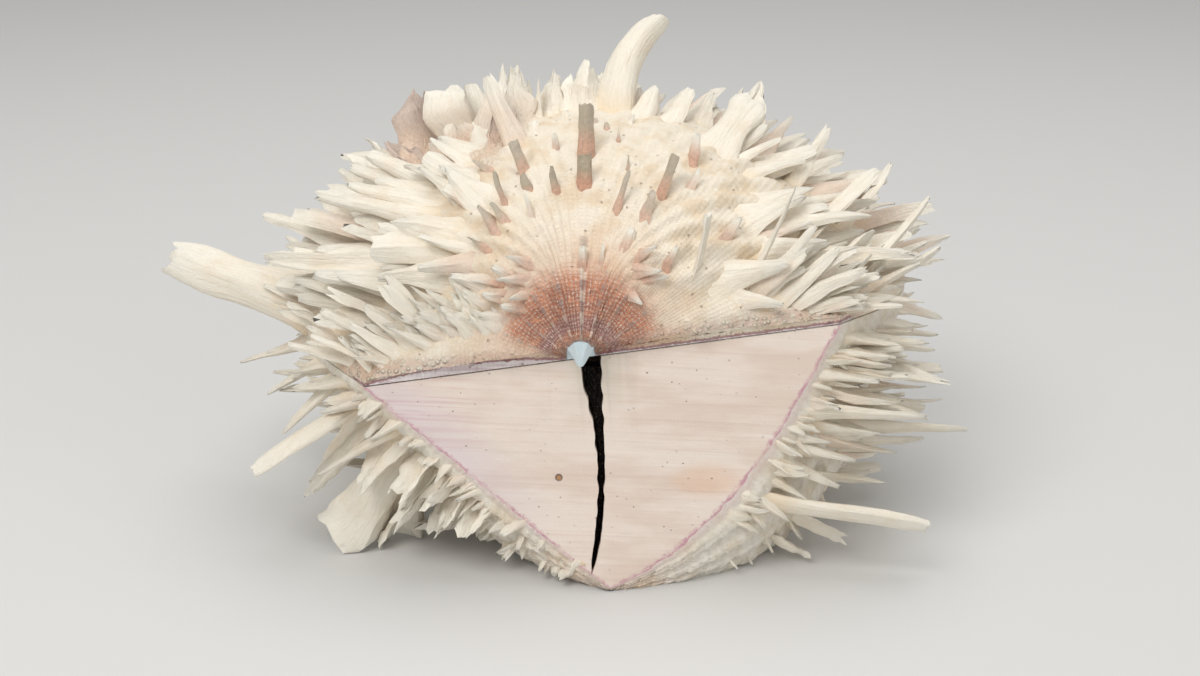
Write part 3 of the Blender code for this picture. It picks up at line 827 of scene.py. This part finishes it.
def ligament():
    # A cracked ridge in the slit, on the same wedge as the solid.
    bm = bmesh.new()
    bmesh.ops.create_cube(bm, size=1)
    for axis, cuts in ligamentShape["cuts"]:
        bmesh.ops.subdivide_edges(bm, edges=edgesAlong(bm, axis), cuts=cuts, use_grid_fill=True)
    spare, floor = growth["valveGap"], growth["slitDepth"] - growth["valveGap"]
    start, end = growth["ligamentStart"], growth["ligamentEnd"]
    for vertex in bm.verts:
        share = start + (end - start) * (0.5 - vertex.co.z)
        middle, height, width = follow(growth["slit"], np.float64(share))
        front = 0.5 - vertex.co.y
        y = faceDepth(height) + floor - growth["ligamentDepth"] * front
        x = middle + vertex.co.x * (width - 2 * spare)
        rough = noise.fractal(Vector((x, y, height)) / ligamentShape["crackSize"], 1.0, 2.0, 3)
        y = y + rough * ligamentShape["crackDepth"] * front + ligamentShape["swell"] * front
        vertex.co = (x, y, height)
    bmesh.ops.recalc_face_normals(bm, faces=bm.faces)
    piece = finished("ligamentRidge", bm, "ligament")
    piece.data.materials.append(ligamentFinish())


# Spines

formParts = (
    # its width at the tip and how it gets there, its section, its ragged tip, its root and its rounding
    "tip", "power", "waist", "thick", "arch", "hollow", "fold", "ragged", "uneven", "flare", "run", "round",
)
spineForms = {
    "thorn": (0.12, 1.0, 0.0, 0.72, 0.10, 0.2, 0.0, 0.10, 0.2, 0.8, 0.15, 0.28),
    "horn": (0.30, 0.8, 0.0, 0.72, 0.12, 0.3, 0.05, 0.25, 0.3, 0.8, 0.22, 0.28),
    "peg": (0.92, 1.0, 0.05, 0.60, 0.15, 0.5, 0.0, 0.30, 0.1, 0.3, 0.10, 0.06),
    "cut": (0.62, 1.2, 0.04, 0.56, 0.26, 0.6, 0.08, 0.40, 0.3, 0.7, 0.18, 0.25),
    "flat": (0.42, 1.5, 0.0, 0.48, 0.22, 0.7, 0.12, 0.60, 0.5, 0.6, 0.18, 0.2),
    "spatula": (1.10, 2.5, 0.28, 0.34, 0.26, 0.8, 0.08, 0.35, 0.25, 0.7, 0.16, 0.22),
    "blade": (0.85, 1.5, 0.0, 0.16, 0.30, 0.95, 0.22, 0.90, 0.6, 0.3, 0.12, 0.1),
    "lobe": (0.50, 1.3, 0.0, 0.20, 0.30, 0.95, 0.26, 0.60, 0.5, 0.35, 0.20, 0.3),
    "lamella": (0.25, 0.9, 0.0, 0.14, 0.12, 0.95, 0.20, 1.00, 1.0, 0.0, 0.10, 0.1),
    "paddle": (0.92, 1.5, 0.06, 0.34, 0.30, 0.8, 0.06, 0.35, 0.3, 0.5, 0.12, 0.12),
    "foot": (1.75, 2.2, 0.20, 0.30, 0.12, 0.9, 0.20, 0.60, 0.3, 0.5, 0.15, 0.0),
    "tusk": (0.80, 2.0, 0.0, 0.62, 0.10, 0.4, 0.04, 0.15, 0.12, 0.5, 0.14, 0.25),
}
spineSizes = {
    "sink": 2.5, "buried": 1.3, "marginClearance": 0.5, "floorClearance": 0.3, "ringCrowding": 0.09,
    "fluteDepth": 0.06, "foldWaves": 4.6, "fray": 1.6, "frayedUpTo": 5, "twist": 0.5, "lowest": 0.05,
    "stub": 1, "singleBend": -0.02, "fringeBend": 0.02, "behindFace": 0.6, "stripClearance": 2.8,
    "rootShare": 0.55, "fine": (20, 15), "small": (8, 5), "wide": (28, 18),
}


def heading(bearing, rise):
    bearing, rise = math.radians(bearing), math.radians(rise)
    flat = math.cos(rise)
    return np.array([flat * math.cos(bearing), flat * math.sin(bearing), math.sin(rise)])


def post(sides, rings):                          # an upright post, one unit high, with both its ends closed
    bm = bmesh.new()
    bmesh.ops.create_cone(bm, cap_ends=True, segments=sides, radius1=1, radius2=1, depth=1)
    bmesh.ops.subdivide_edges(bm, edges=edgesAlong(bm, 2), cuts=rings - 1)
    rim = [vertex for vertex in bm.verts if vertex.co.z > 0.49]
    rim.sort(key=lambda vertex: round(vertex.co.x, 4))
    for number in range(1, len(rim) - 2, 2):     # its top is strips from one side to the other
        bmesh.ops.connect_verts(bm, verts=rim[number:number + 2])
    mesh = bpy.data.meshes.new("post")
    bm.to_mesh(mesh)
    bm.free()
    return mesh


faceSides = [lowerOutside(np.full(40, fan), np.linspace(0, 1, 40)) for fan in (180.0, 0.0)]


def tucked(places, side):                        # roots stay behind the hinge face and the strip over it
    x, y, z = places.T
    clear = spineSizes["behindFace"]
    if side < 0:
        left, right = (np.interp(z, edge[:, 2], edge[:, 0]) for edge in faceSides)
        inFace = (x > left - clear) & (x < right + clear)
        front = faceDepth(z)
    else:
        inFace = z < seamHeight(x) + spineSizes["stripClearance"]
        corners = [point(name) for name in ("hingeLeft", "beak", "hingeRight")]
        front = np.interp(x, [corner[0] for corner in corners], [corner[1] for corner in corners])
    return np.where(inFace, np.maximum(y, front + clear), y)


def sectionOf(upright, share, form, phase, twist):
    # The spine's cross-section on its post: arched, folded and hollowed below, and twisted along it.
    radius = np.hypot(upright[:, 0], upright[:, 1])
    turn = np.arctan2(upright[:, 1], upright[:, 0])
    x = np.cos(turn) * radius
    folded = form["fold"] * np.sin(x * spineSizes["foldWaves"] + phase) * smooth(0.05, 0.5, share)
    arch = form["arch"] * (1 - x ** 2) + folded
    high = np.sin(turn) * radius * form["thick"]
    under = high * 0.4 + arch - (1 - form["hollow"]) * np.abs(arch)
    y = np.where(high > 0, high + arch, under) - form["arch"] * 0.4
    return x * np.cos(twist) - y * np.sin(twist), x * np.sin(twist) + y * np.cos(twist)


def widthAlong(turn, share, run, form, phase, flutes):
    wide = 1 + form["flare"] * np.exp(-share / run) - form["waist"] * np.sin(math.pi * share)
    wide = wide * (1 + (form["tip"] - 1) * share ** form["power"])
    wide = wide * (1 - form["round"] * smooth(0.9, 1, share))
    wide = wide * (1 + spineSizes["fluteDepth"] * np.sin(flutes * turn + phase + share * 1.5))
    steps = zip(share, np.cos(turn) * 1.6)
    uneven = np.array([noise.noise(Vector((s * 3.1, side, phase * 7))) for s, side in steps])
    return wide * (1 + form["uneven"] * uneven * smooth(0.05, 0.35, share))


def spineShape(upright, spine, pick):            # bends the post to one spine, as rooted describes it
    form = dict(zip(formParts, spineForms[spine["form"]]))
    even = upright[:, 2] + 0.5
    share = even - spineSizes["ringCrowding"] * np.sin(math.tau * even)
    turn = np.arctan2(upright[:, 1], upright[:, 0])
    length, half = spine["length"], spine["width"] / 2
    run = min(0.4, form["run"] * 5 * spine["width"] / length)
    root, aim, out = spine["root"], spine["aim"], spine["out"]
    across = np.array(spine.get("turned", spine["across"]), float)
    across = across - aim * (across @ aim)
    if np.linalg.norm(across) < 0.25:
        across = np.cross(aim, out)
    across = across / np.linalg.norm(across)
    over = np.cross(across, aim)
    if over @ (out - spine["along"]) < 0:
        over = -over
    phase, flutes = pick.uniform(0, 6), pick.choice((3, 4, 5))
    wide = widthAlong(turn, share, run, form, phase, flutes)
    twist = pick.uniform(-spineSizes["twist"], spineSizes["twist"]) * share
    x, y = sectionOf(upright, share, form, phase, twist)
    flatness = 0.2 + form["thick"]
    tears = [Vector((math.cos(t) * 2.4, math.sin(t) * flatness, phase * 9)) for t in turn]
    frayed = np.array([noise.noise(tear) for tear in tears])
    frayed = frayed * form["ragged"] * min(half, spineSizes["frayedUpTo"]) * spineSizes["fray"]
    along = share * (length + spineSizes["sink"]) - spineSizes["sink"]
    along = along + smooth(0.75, 1.0, share) * frayed
    curve = 4 * share * (1 - share)
    centre = root + np.outer(along, aim) + np.outer(length * (spine["bend"] * curve), over)
    centre = centre + np.outer(length * (spine["lean"] * share ** 2), across)
    centre = centre + np.outer(length * curve, spine.get("sway", (0, 0, 0)))
    places = centre + np.outer(x * wide * half, across) + np.outer(y * wide * half, over)
    height = (places - root) @ out               # its root lies down on the shell
    places = places - np.outer((height + spineSizes["buried"]) * np.exp(-(share / run) ** 1.5), out)
    behind = tucked(places, spine["side"])
    places[:, 1] = np.where(share < spineSizes["rootShare"], behind, places[:, 1])
    places[:, 2] = np.clip(places[:, 2], *spine["limits"])
    lay = np.stack([x * half, y * half, along + phase * 30], 1)
    data = np.stack([share, np.full(len(share), pick.random()), np.full(len(share), spine["tinted"])], 1)
    return places, lay, data


def growSpines(name, spines, sides, rings, seed, slotName, roughness=0.14):
    pick = random.Random(seed)
    template = post(sides, rings)
    upright = np.array([vertex.co for vertex in template.vertices])
    bm = bmesh.new()
    places, lays, datas = [], [], []
    for spine in spines:
        place, lay, data = spineShape(upright, spine, pick)
        if spine["length"] <= spineSizes["stub"]:            # it has no room above the floor
            continue
        bm.from_mesh(template)
        places.append(place)
        lays.append(lay)
        datas.append(data)
    places = np.vstack(places)
    places += np.array([noise.noise_vector(Vector(place) / 1.6) for place in places]) * roughness
    places[:, 2] = np.maximum(places[:, 2], spineSizes["lowest"])
    remember(bm, "lay", np.vstack(lays))
    remember(bm, "spine", np.vstack(datas))
    layOut(bm, places)
    bmesh.ops.recalc_face_normals(bm, faces=bm.faces)
    bpy.data.meshes.remove(template)
    return finished(name, bm)


def rooted(outside, side, fan, reach, length, width, aim, form, bend=0.03, lean=0.0, tinted=0.0, **more):
    # One spine: side is 1 on the upper valve and -1 on the lower; bend, lean and sway are shares of length.
    along, across, out = slopeAt(outside, fan, reach, side)
    root = outside(np.float64(fan), np.float64(reach)) + out * 0.2
    root = root + np.array([0, 0, side * growth["lipHeight"]])
    seam = seamHeight(root[0])
    height = seam + (margin(np.float64(fan))[2] - seam) * reach + side * spineSizes["marginClearance"]
    limits = (height, math.inf) if side > 0 else (spineSizes["lowest"], height)
    if side < 0 and aim[2] < 0:                  # ends above the floor
        room = (root[2] - spineSizes["floorClearance"] - 0.2 * width) / -aim[2]
        length = max(min(length, room), spineSizes["stub"])
    return {
        "side": side, "root": root, "aim": aim, "along": along, "across": across, "out": out,
        "length": length, "width": width, "form": form, "bend": bend, "lean": lean, "tinted": tinted,
        "limits": limits, **more,
    }


upperSingles = [
    # fan angle, reach, length, width, bearing, rise, form, tinted
    (92, 0.15, 7, 3.4, 90, 75, "peg", 0.9), (92, 0.21, 11, 3.8, 90, 80, "peg", 0.8),
    (44, 0.22, 9, 3.2, 30, 65, "peg", 0.8), (41, 0.17, 6, 3.0, 30, 65, "cut", 0.6),
    (66, 0.13, 9, 1.8, 40, 65, "cut", 0.7), (109, 0.15, 6, 2.0, 150, 75, "cut", 0.8),
    (140, 0.24, 7, 1.8, 160, 70, "cut", 0.7), (121, 0.23, 7, 3.0, 150, 65, "peg", 0.7),
    (50, 0.33, 6, 3.4, 60, 70, "cut", 0.5), (38, 0.30, 5, 2.6, 50, 50, "cut", 0.3),
    (125, 0.19, 4, 2.4, 140, 60, "cut", 0.8), (133, 0.155, 5, 1.9, 150, 65, "cut", 0.2),
    (147, 0.23, 5, 2.4, 160, 45, "cut", 0.7), (70, 0.20, 3, 1.6, 80, 70, "thorn", 0.6),
    (80, 0.26, 3, 1.6, 85, 70, "thorn", 0.5), (104, 0.24, 3.5, 1.8, 110, 70, "cut", 0.4),
    # over the umbo
    (91, 0.062, 4, 2.4, 90, 82, "cut", 0.5), (64, 0.07, 4, 1.5, 60, 72, "cut", 0.4),
    (36, 0.115, 5, 3.0, 50, 55, "cut", 0.4), (152, 0.28, 5, 4.4, 165, 50, "horn", 0.6),
    (160, 0.33, 4, 2.4, 170, 30, "thorn", 0.7), (168, 0.25, 5, 4.6, 186, 34, "horn", 0.35),
    (170, 0.29, 7, 2.4, 178, 8, "thorn", 0.5), (170, 0.37, 7, 4.6, 180, 14, "horn", 0.1),
    (166, 0.19, 7, 3.4, 205, 6, "thorn", 0.35), (173, 0.30, 5, 4.2, 196, 12, "horn", 0.4),
    (171, 0.20, 5, 3.4, 218, 0, "thorn", 0.4), (175, 0.25, 4.5, 3.8, 205, 14, "horn", 0.45),
    (15, 0.17, 6.5, 4.2, 328, 8, "thorn", 0.4), (10, 0.21, 5.5, 4.0, 338, 10, "thorn", 0.45),
    (7, 0.17, 4.5, 3.4, 305, -12, "thorn", 0.45), (11, 0.28, 4.5, 3.0, 20, 60, "horn", 0.5),
    (15, 0.45, 6, 5.0, 30, 50, "horn", 0.4), (177, 0.33, 4, 3.0, 185, 50, "thorn", 0.3),
    (22, 0.16, 5.5, 3.8, 342, 30, "thorn", 0.45), (159, 0.17, 5.5, 3.6, 200, 22, "thorn", 0.4),
    # along the hinge, right and left
    (6, 0.40, 14, 3.8, 20, 78, "spatula", 0.0), (7, 0.60, 21, 3.6, 10, 66, "thorn", 0.0),
    (6, 0.64, 16, 3.6, 5, 48, "cut", 0.0), (176, 0.62, 14, 4.4, 178, 46, "blade", 0.0),
    (171, 0.73, 15, 4.0, 172, 20, "blade", 0.0), (173, 0.81, 14, 4.0, 177, 22, "cut", 0.0),
    (176, 0.91, 13, 3.8, 180, 22, "cut", 0.0), (173, 0.56, 8, 3.0, 175, 35, "thorn", 0.0),
    (177, 0.48, 8, 2.6, 180, 30, "thorn", 0.0), (177, 0.35, 6, 2.4, 180, 15, "thorn", 0.0),
    (175, 0.53, 7, 3.0, 172, 30, "thorn", 0.0), (176, 0.72, 12, 4.0, 176, 34, "cut", 0.0),
    (177, 0.80, 11, 3.8, 178, 30, "cut", 0.0), (178, 0.66, 10, 3.4, 182, 24, "thorn", 0.0),
    # right flank
    (20, 0.67, 25, 6.5, 40, 25, "blade", 0.0), (14, 0.90, 27, 4.8, 40, 32, "cut", 0.0),
    (16, 0.95, 19, 4.4, 30, 18, "cut", 0.0), (30, 0.78, 22, 5.0, 50, 30, "cut", 0.0),
    (38, 0.60, 20, 5.0, 55, 30, "cut", 0.0),
    # skyline, right to left
    (52, 0.40, 21, 9.0, 60, 20, "spatula", 0.0), (71, 0.41, 11, 5.0, 60, 27, "cut", 0.0),
    (78, 0.38, 11, 5.0, 70, 24, "cut", 0.0),
    (105, 0.40, 10, 2.4, 90, 50, "thorn", 0.0), (116, 0.30, 20, 4.8, 120, 39, "cut", 0.15),
    # left flank
    (137, 0.51, 17, 6.0, 150, 10, "cut", 0.0), (160, 0.60, 31, 9.0, 170, -3, "lobe", 0.0),
    (151, 0.46, 29, 5.2, 160, 4, "cut", 0.0), (146, 0.46, 22, 5.0, 158, 3, "cut", 0.0),
    (139, 0.55, 18, 5.0, 152, 6, "cut", 0.0), (150, 0.72, 26, 5.4, 160, 8, "cut", 0.0),
]
upperPlates = [
    (94, 0.40, 10, 10, 85, 38, "blade", 0.0), (100, 0.42, 9, 10, 90, 38, "blade", 0.0),
    (113, 0.40, 14, 20, 94, 44, "lamella", 0.15), (109, 0.43, 9, 12, 84, 40, "lamella", 0.2),
    (121, 0.47, 12, 17, 108, 42, "blade", 0.15), (125, 0.45, 9, 13, 122, 38, "lamella", 0.4),
    (129, 0.55, 17, 27, 106, 42, "lamella", 0.63), (134, 0.55, 10, 18, 142, 26, "lamella", 0.63),
    (118, 0.35, 8, 13, 112, 42, "lamella", 0.63), (115, 0.32, 6, 9, 105, 44, "lamella", 0.63),
    (133, 0.60, 13, 11, 150, 14, "blade", 0.05), (60, 0.55, 14, 9, 70, 35, "blade", 0.0),
]
lowerSingles = [
    # left flank
    (150, 0.93, 21, 4.6, 165, -19, "horn", 0.0), (160, 0.95, 16, 4.2, 170, -32, "horn", 0.0),
    (167, 0.95, 18, 4.2, 180, -46, "horn", 0.0), (168, 0.86, 28, 5.2, 190, -31, "tusk", 0.0),
    (171, 0.76, 19, 4.4, 185, -30, "horn", 0.0),
    # right flank
    (12, 0.93, 16, 5.6, 15, -10, "horn", 0.0), (7, 0.88, 23, 7.6, 8, -12, "flat", 0.0),
    (6, 0.81, 22, 6.6, 4, -18, "horn", 0.0), (4, 0.74, 24, 6.2, 356, 0, "horn", 0.0),
    (15, 0.70, 29, 6.4, 10, -5, "horn", 0.0), (24, 0.64, 18, 6.4, 10, 2, "horn", 0.0),
    (4, 0.66, 7, 4.4, 0, -8, "thorn", 0.0), (4, 0.58, 13, 5.8, 356, -24, "horn", 0.0),
    (8, 0.45, 34, 6.2, 356, -7, "tusk", 0.0), (4, 0.46, 9, 5.0, 0, -42, "thorn", 0.0),
    (4, 0.37, 6, 4.4, 0, -36, "thorn", 0.0), (5, 0.52, 8, 4.8, 350, -30, "thorn", 0.0),
    (6, 0.63, 12, 5.8, 2, -14, "horn", 0.0), (9, 0.83, 15, 6.0, 12, 2, "horn", 0.0),
    # the stumps that it leans on at the back
    (66, 0.52, 24, 6.5, 60, -74, "cut", 0.1), (116, 0.54, 24, 6.5, 120, -72, "cut", 0.1),
    (42, 0.50, 18, 6.0, 30, -66, "cut", 0.1),
]
lowerPlates = [
    (160, 0.55, 26, 10, 150, -56, "blade", 0.1), (165, 0.78, 24, 9, 165, -48, "blade", 0.0),
    (171, 0.74, 14, 9, 196, -52, "lobe", 0.0), (174, 0.66, 10, 8, 222, -40, "blade", 0.0),
    (172, 0.62, 12, 8, 185, -60, "lobe", 0.0), (174, 0.57, 8, 7, 215, -30, "blade", 0.0),
    (168, 0.58, 12, 8, 200, -55, "blade", 0.0), (172, 0.50, 8, 7, 225, -50, "lobe", 0.0),
    (166, 0.48, 9, 7, 205, -60, "blade", 0.0), (173, 0.43, 6, 6, 230, -40, "blade", 0.0),
    (22, 0.42, 12, 6, 5, -22, "blade", 0.0), (26, 0.35, 8, 5, 350, -24, "blade", 0.0),
    (28, 0.27, 7, 5, 330, -20, "blade", 0.0),
]


def singles(outside, side, rows):
    grown = []
    for fan, reach, length, width, bearing, rise, form, tinted in rows:
        aim = heading(bearing, rise)
        bend = spineSizes["singleBend"]
        grown.append(rooted(outside, side, fan, reach, length, width, aim, form, bend, 0, tinted))
    return grown


upperField = {
    "lines": 47, "step": 3.75, "clearance": 4.1, "seed": 21,
    "reaches": (0.26, 0.33, 0.41, 0.49, 0.57, 0.65, 0.73, 0.81, 0.88, 0.94),
    "starts": [(0, 0.50), (55, 0.46), (80, 0.30), (110, 0.27), (150, 0.30), (180, 0.36)],
    "flank": (11, 21), "middle": (2.5, 5), "back": (12, 20), "width": (4.4, 7.4), "lift": (12, 34),
    "rightForms": ("horn", "cut", "flat", "horn"), "leftForms": ("flat", "flat", "horn", "paddle", "cut"),
}
lowerField = {
    "lines": 47, "step": 3.75, "clearance": 5.0, "seed": 34,
    "reaches": (0.24, 0.34, 0.44, 0.54, 0.64, 0.74, 0.84, 0.93),
    "starts": [(0, 0.56), (40, 0.5), (70, 0.25), (150, 0.25), (180, 0.5)],
    "flank": (9, 18), "middle": (8, 16), "back": (10, 18), "width": (4.4, 6.4), "lift": (14, 34),
    "rightForms": ("horn", "thorn", "cut", "flat"), "leftForms": ("flat", "horn", "blade", "cut"),
}
fieldSizes = {                                   # of both valves
    "wideBlade": 6, "shortest": 7, "offCrestLength": 0.72, "offCrestWidth": 0.8, "leftWider": 0.25,
    "yaw": 0.34, "lean": 0.16, "level": 0.06, "lowestRoot": 4,
}


def spotsTaken(grown):                           # no field spine grows there, or through a wide blade
    spots = [spine["root"] for spine in grown]
    for spine in grown:
        if spine["width"] > fieldSizes["wideBlade"]:
            steps = np.arange(3, spine["length"] * 0.7, 3)
            spots += [spine["root"] + spine["aim"] * step for step in steps]
    return spots


def fieldAim(outside, side, fan, place, root, lift, yaw, width, length):
    along, across, out = slopeAt(outside, fan, place, side)
    aim = along * math.cos(lift) + out * math.sin(lift) + across * yaw
    level = fieldSizes["level"] * side
    if (aim[2] - level) * side < 0:
        aim[2] = level
    aim = aim / np.linalg.norm(aim)
    steepest = (spineSizes["floorClearance"] + 0.25 * width - root[2]) / length
    if side < 0 and aim[2] < steepest:
        aim[2] = steepest
        aim = aim / np.linalg.norm(aim)
    return aim


def fieldOf(outside, side, field, grown):
    # Rows of spines on the ribs, wherever no single spine stands.
    pick = random.Random(field["seed"])
    taken = spotsTaken(grown)
    spines = []
    for line in range(field["lines"]):
        for number, reach in enumerate(field["reaches"]):
            fan = field["step"] * (line + 1) + pick.uniform(-1.2, 1.2)
            place = reach + pick.uniform(-0.03, 0.02)
            onCrest = line % 2
            flank = smooth(0.35, 0.85, abs(math.cos(math.radians(fan))))
            late = smooth(0.36, 0.58, place)
            middle = [near * (1 - late) + far * late for near, far in zip(field["middle"], field["back"])]
            low, high = (end * flank + (1 - flank) * inner for end, inner in zip(field["flank"], middle))
            age = 0.45 + 0.55 * smooth(0.15, 0.50, place)
            length = pick.uniform(low, high) * age * (1.0 if onCrest else fieldSizes["offCrestLength"])
            width = pick.uniform(*field["width"]) * (0.5 + 0.5 * smooth(4, 14, length))
            width *= 1.0 if onCrest else fieldSizes["offCrestWidth"]
            lift = math.radians(pick.uniform(*field["lift"]))
            onLeft = smooth(80, 110, fan)
            form = pick.choice(field["leftForms"] if pick.random() < onLeft else field["rightForms"])
            width *= 1 + fieldSizes["leftWider"] * onLeft * (side > 0)
            yaw = pick.uniform(-fieldSizes["yaw"], fieldSizes["yaw"])
            bend, lean = pick.uniform(-0.07, 0.05), pick.uniform(-fieldSizes["lean"], fieldSizes["lean"])
            isLong = length > fieldSizes["shortest"]
            tinted = pick.choice((0, 0, 0, 0, 0.2)) if isLong else pick.choice((0.0, 0.3, 0.6))
            dropped = pick.random()
            root = outside(np.float64(fan), np.float64(place))
            if place < np.interp(fan, *np.transpose(field["starts"])):
                continue
            if any(np.linalg.norm(root - other) < field["clearance"] for other in taken):
                continue
            if not onCrest and (number + line // 2) % 2 and dropped < 0.6:
                continue
            if length < fieldSizes["shortest"] and dropped < 0.45:
                continue
            if side < 0 and root[2] < fieldSizes["lowestRoot"]:
                continue
            aim = fieldAim(outside, side, fan, place, root, lift, yaw, width, length)
            spines.append(rooted(outside, side, fan, place, length, width, aim, form, bend, lean, tinted))
    return spines


fringe = {
    # fan angles, reaches, count, lengths, widths, bearings counted from the fan angle, rises
    "upperLeft": ((173.5, 178), (0.34, 0.97), 64, (3, 8), (3.0, 5.0), (-30, 40), (12, 58)),
    "upperRightCorner": ((3, 16), (0.62, 0.96), 24, (8, 17), (3.6, 5.4), (-15, 35), (8, 42)),
    "upperMargin": ((5, 174), (0.92, 0.98), 78, (6, 14), (3.6, 5.4), (-20, 20), (-4, 24)),
    "upperRightTip": ((2.5, 10), (0.84, 0.97), 12, (6, 13), (3.6, 5.2), (-60, -10), (0, 25)),
    "lowerMargin": ((6, 174), (0.90, 0.97), 84, (6, 14), (3.8, 5.6), (-20, 20), (-26, 2)),
    "lowerLeft": ((150, 177), (0.10, 0.50), 28, (2, 6), (2.8, 5.8), (30, 100), (-75, -20)),
    "lowerLeftEdge": ((174, 178.6), (0.30, 0.97), 30, (2, 7), (2.8, 5.2), (-5, 60), (-60, 0)),
    "lowerRight": ((18, 55), (0.14, 0.50), 24, (3, 6), (2.4, 4.0), (-70, -50), (-62, -25)),
    "lowerRightEdge": ((1.4, 5), (0.34, 0.97), 22, (2, 7), (2.6, 4.6), (-45, 15), (-45, 10)),
    "lowerRightCorner": ((2, 12), (0.86, 0.97), 14, (7, 15), (4.0, 5.6), (-50, -5), (-10, 8)),
    "lowerRightSide": ((4, 12), (0.66, 0.97), 16, (8, 17), (4.0, 5.6), (-20, 12), (-22, 4)),
}


def fringesOf(valve, outside, side, seed):       # small spines along the valve's edges
    grown = []
    for number, place in enumerate(place for place in fringe if place.startswith(valve)):
        pick = random.Random(seed + number)
        fans, reaches, count, lengths, widths, bearings, rises = fringe[place]
        for _ in range(count):
            reach = pick.uniform(*reaches)
            length = pick.uniform(*lengths) * (0.55 + 0.45 * smooth(0.15, 0.5, reach))
            fan, width = pick.uniform(*fans), pick.uniform(*widths)
            aim = heading(fan + pick.uniform(*bearings), pick.uniform(*rises))
            form = pick.choice(("thorn", "horn", "flat"))
            bend, tinted = spineSizes["fringeBend"], pick.choice((0, 0, 0.1))
            grown.append(rooted(outside, side, fan, reach, length, width, aim, form, bend, 0, tinted))
    return grown


def feature(outside, side, fan, reach, length, width, bearing, rise, form, **more):
    return rooted(outside, side, fan, reach, length, width, heading(bearing, rise), form, **more)


def allSpines():
    upper = singles(upperOutside, 1, upperSingles)
    curved = {"bend": 0.0, "sway": (-0.13, 0.02, 0.05)}
    upper.append(feature(upperOutside, 1, 84, 0.41, 26, 7.6, 60, 44, "tusk", **curved))
    upper += fringesOf("upper", upperOutside, 1, 12)
    onEdge = {"bend": 0.02, "turned": (0.1, 0.3, 1), "limits": (46, math.inf)}
    paddle = feature(upperOutside, 1, 154, 0.96, 36, 11, 163, 13, "paddle", **onEdge)
    plates = singles(upperOutside, 1, upperPlates)
    lower = singles(lowerOutside, -1, lowerSingles)
    lower += fringesOf("lower", lowerOutside, -1, 5)
    facing = {"bend": 0.03, "turned": (1, 0.5, 0)}
    foot = feature(lowerOutside, -1, 169, 0.68, 32.5, 14.5, 134, -58, "foot", **facing)
    frills = singles(lowerOutside, -1, lowerPlates)
    upperSmall = fieldOf(upperOutside, 1, upperField, upper + plates + [paddle])
    lowerSmall = fieldOf(lowerOutside, -1, lowerField, lower + frills + [foot])
    print("spines", len(upper), len(upperSmall), len(lower), len(lowerSmall))
    fine, small, wide = (spineSizes[grade] for grade in ("fine", "small", "wide"))
    made = [
        growSpines("upperTallSpines", upper + [paddle], *fine, 3, "upper_shell"),
        growSpines("upperPlates", plates, *wide, 4, "upper_shell", 0.5),
        growSpines("upperSpineRows", upperSmall, *small, 5, "upper_shell"),
        growSpines("lowerTallSpines", lower, *fine, 6, "lower_shell"),
        growSpines("lowerPlates", frills + [foot], *wide, 7, "lower_shell", 0.5),
        growSpines("lowerSpineRows", lowerSmall, *small, 8, "lower_shell"),
    ]
    white = spineFinish("whiteSpineFinish", spineTints)
    frilled = spineFinish("frillFinish", frillTints)
    for piece in made:
        piece.data.materials.append(frilled if piece.name == "upperPlates" else white)


upperValve()
lowerValve()
ligament()
allSpines()
print("shell grown")


# Stage

studio = {
    "floor": tint(214, 214, 213), "floorReach": 4, "world": 0.42, "worldColour": (1.0, 0.99, 0.97, 1),
    "elevation": 20, "target": (0, -50, 56), "distance": 345, "lens": 49.44, "sensor": 36,
    "litPoint": (0, 0, 0.05),
    "lights": {                                  # place, size, power and colour
        "keyLight": ((-0.45, -0.75, 0.95), 0.7, 7.6, (1.0, 0.98, 0.95)),
        "topLight": ((0.1, 0.15, 1.1), 0.9, 4.4, (1, 1, 1)),
        "fillLight": ((0.8, -0.7, 0.5), 0.8, 1.6, (1, 1, 1)),
    },
}


def stageObject(name, data):
    made = bpy.data.objects.new(name, data)
    bpy.context.scene.collection.objects.link(made)
    return made


def softLight(name, place, size, power, colour):
    light = bpy.data.lights.new(name, "AREA")
    light.shape, light.size, light.energy, light.color = "DISK", size, power, colour
    lamp = stageObject(name, light)
    lamp.location = place
    lamp.rotation_euler = (Vector(studio["litPoint"]) - Vector(place)).to_track_quat("-Z", "Y").to_euler()


def paleFloor():
    bm = bmesh.new()
    bmesh.ops.create_grid(bm, x_segments=1, y_segments=1, size=studio["floorReach"])
    mesh = bpy.data.meshes.new("paleFloor")
    bm.to_mesh(mesh)
    bm.free()
    f = Finish("paleFloorFinish", {"Roughness": 0.7, "Base Color": (*studio["floor"], 1)})
    mesh.materials.append(f.material)
    stageObject("paleFloor", mesh)


def softRoom():
    world = bpy.data.worlds.new("softRoom")
    world.use_nodes = True
    background = world.node_tree.nodes["Background"]
    background.inputs["Color"].default_value = studio["worldColour"]
    background.inputs["Strength"].default_value = studio["world"]
    bpy.context.scene.world = world
    bpy.context.scene.view_settings.view_transform = "Standard"


def hingeView():
    camera = bpy.data.cameras.new("hingeView")
    camera.lens, camera.sensor_width, camera.sensor_fit = studio["lens"], studio["sensor"], "HORIZONTAL"
    camera.clip_start, camera.clip_end = 0.01, 20
    view = stageObject("hingeView", camera)
    down = math.radians(studio["elevation"])
    ahead = np.array([0, math.cos(down), -math.sin(down)])
    view.location = Vector((np.array(studio["target"]) - ahead * studio["distance"] + shift) * mm)
    view.rotation_euler = (math.pi / 2 - down, 0, 0)
    bpy.context.scene.camera = view


paleFloor()
softRoom()
for name, settings in studio["lights"].items():
    softLight(name, *settings)
hingeView()
print("stage set")
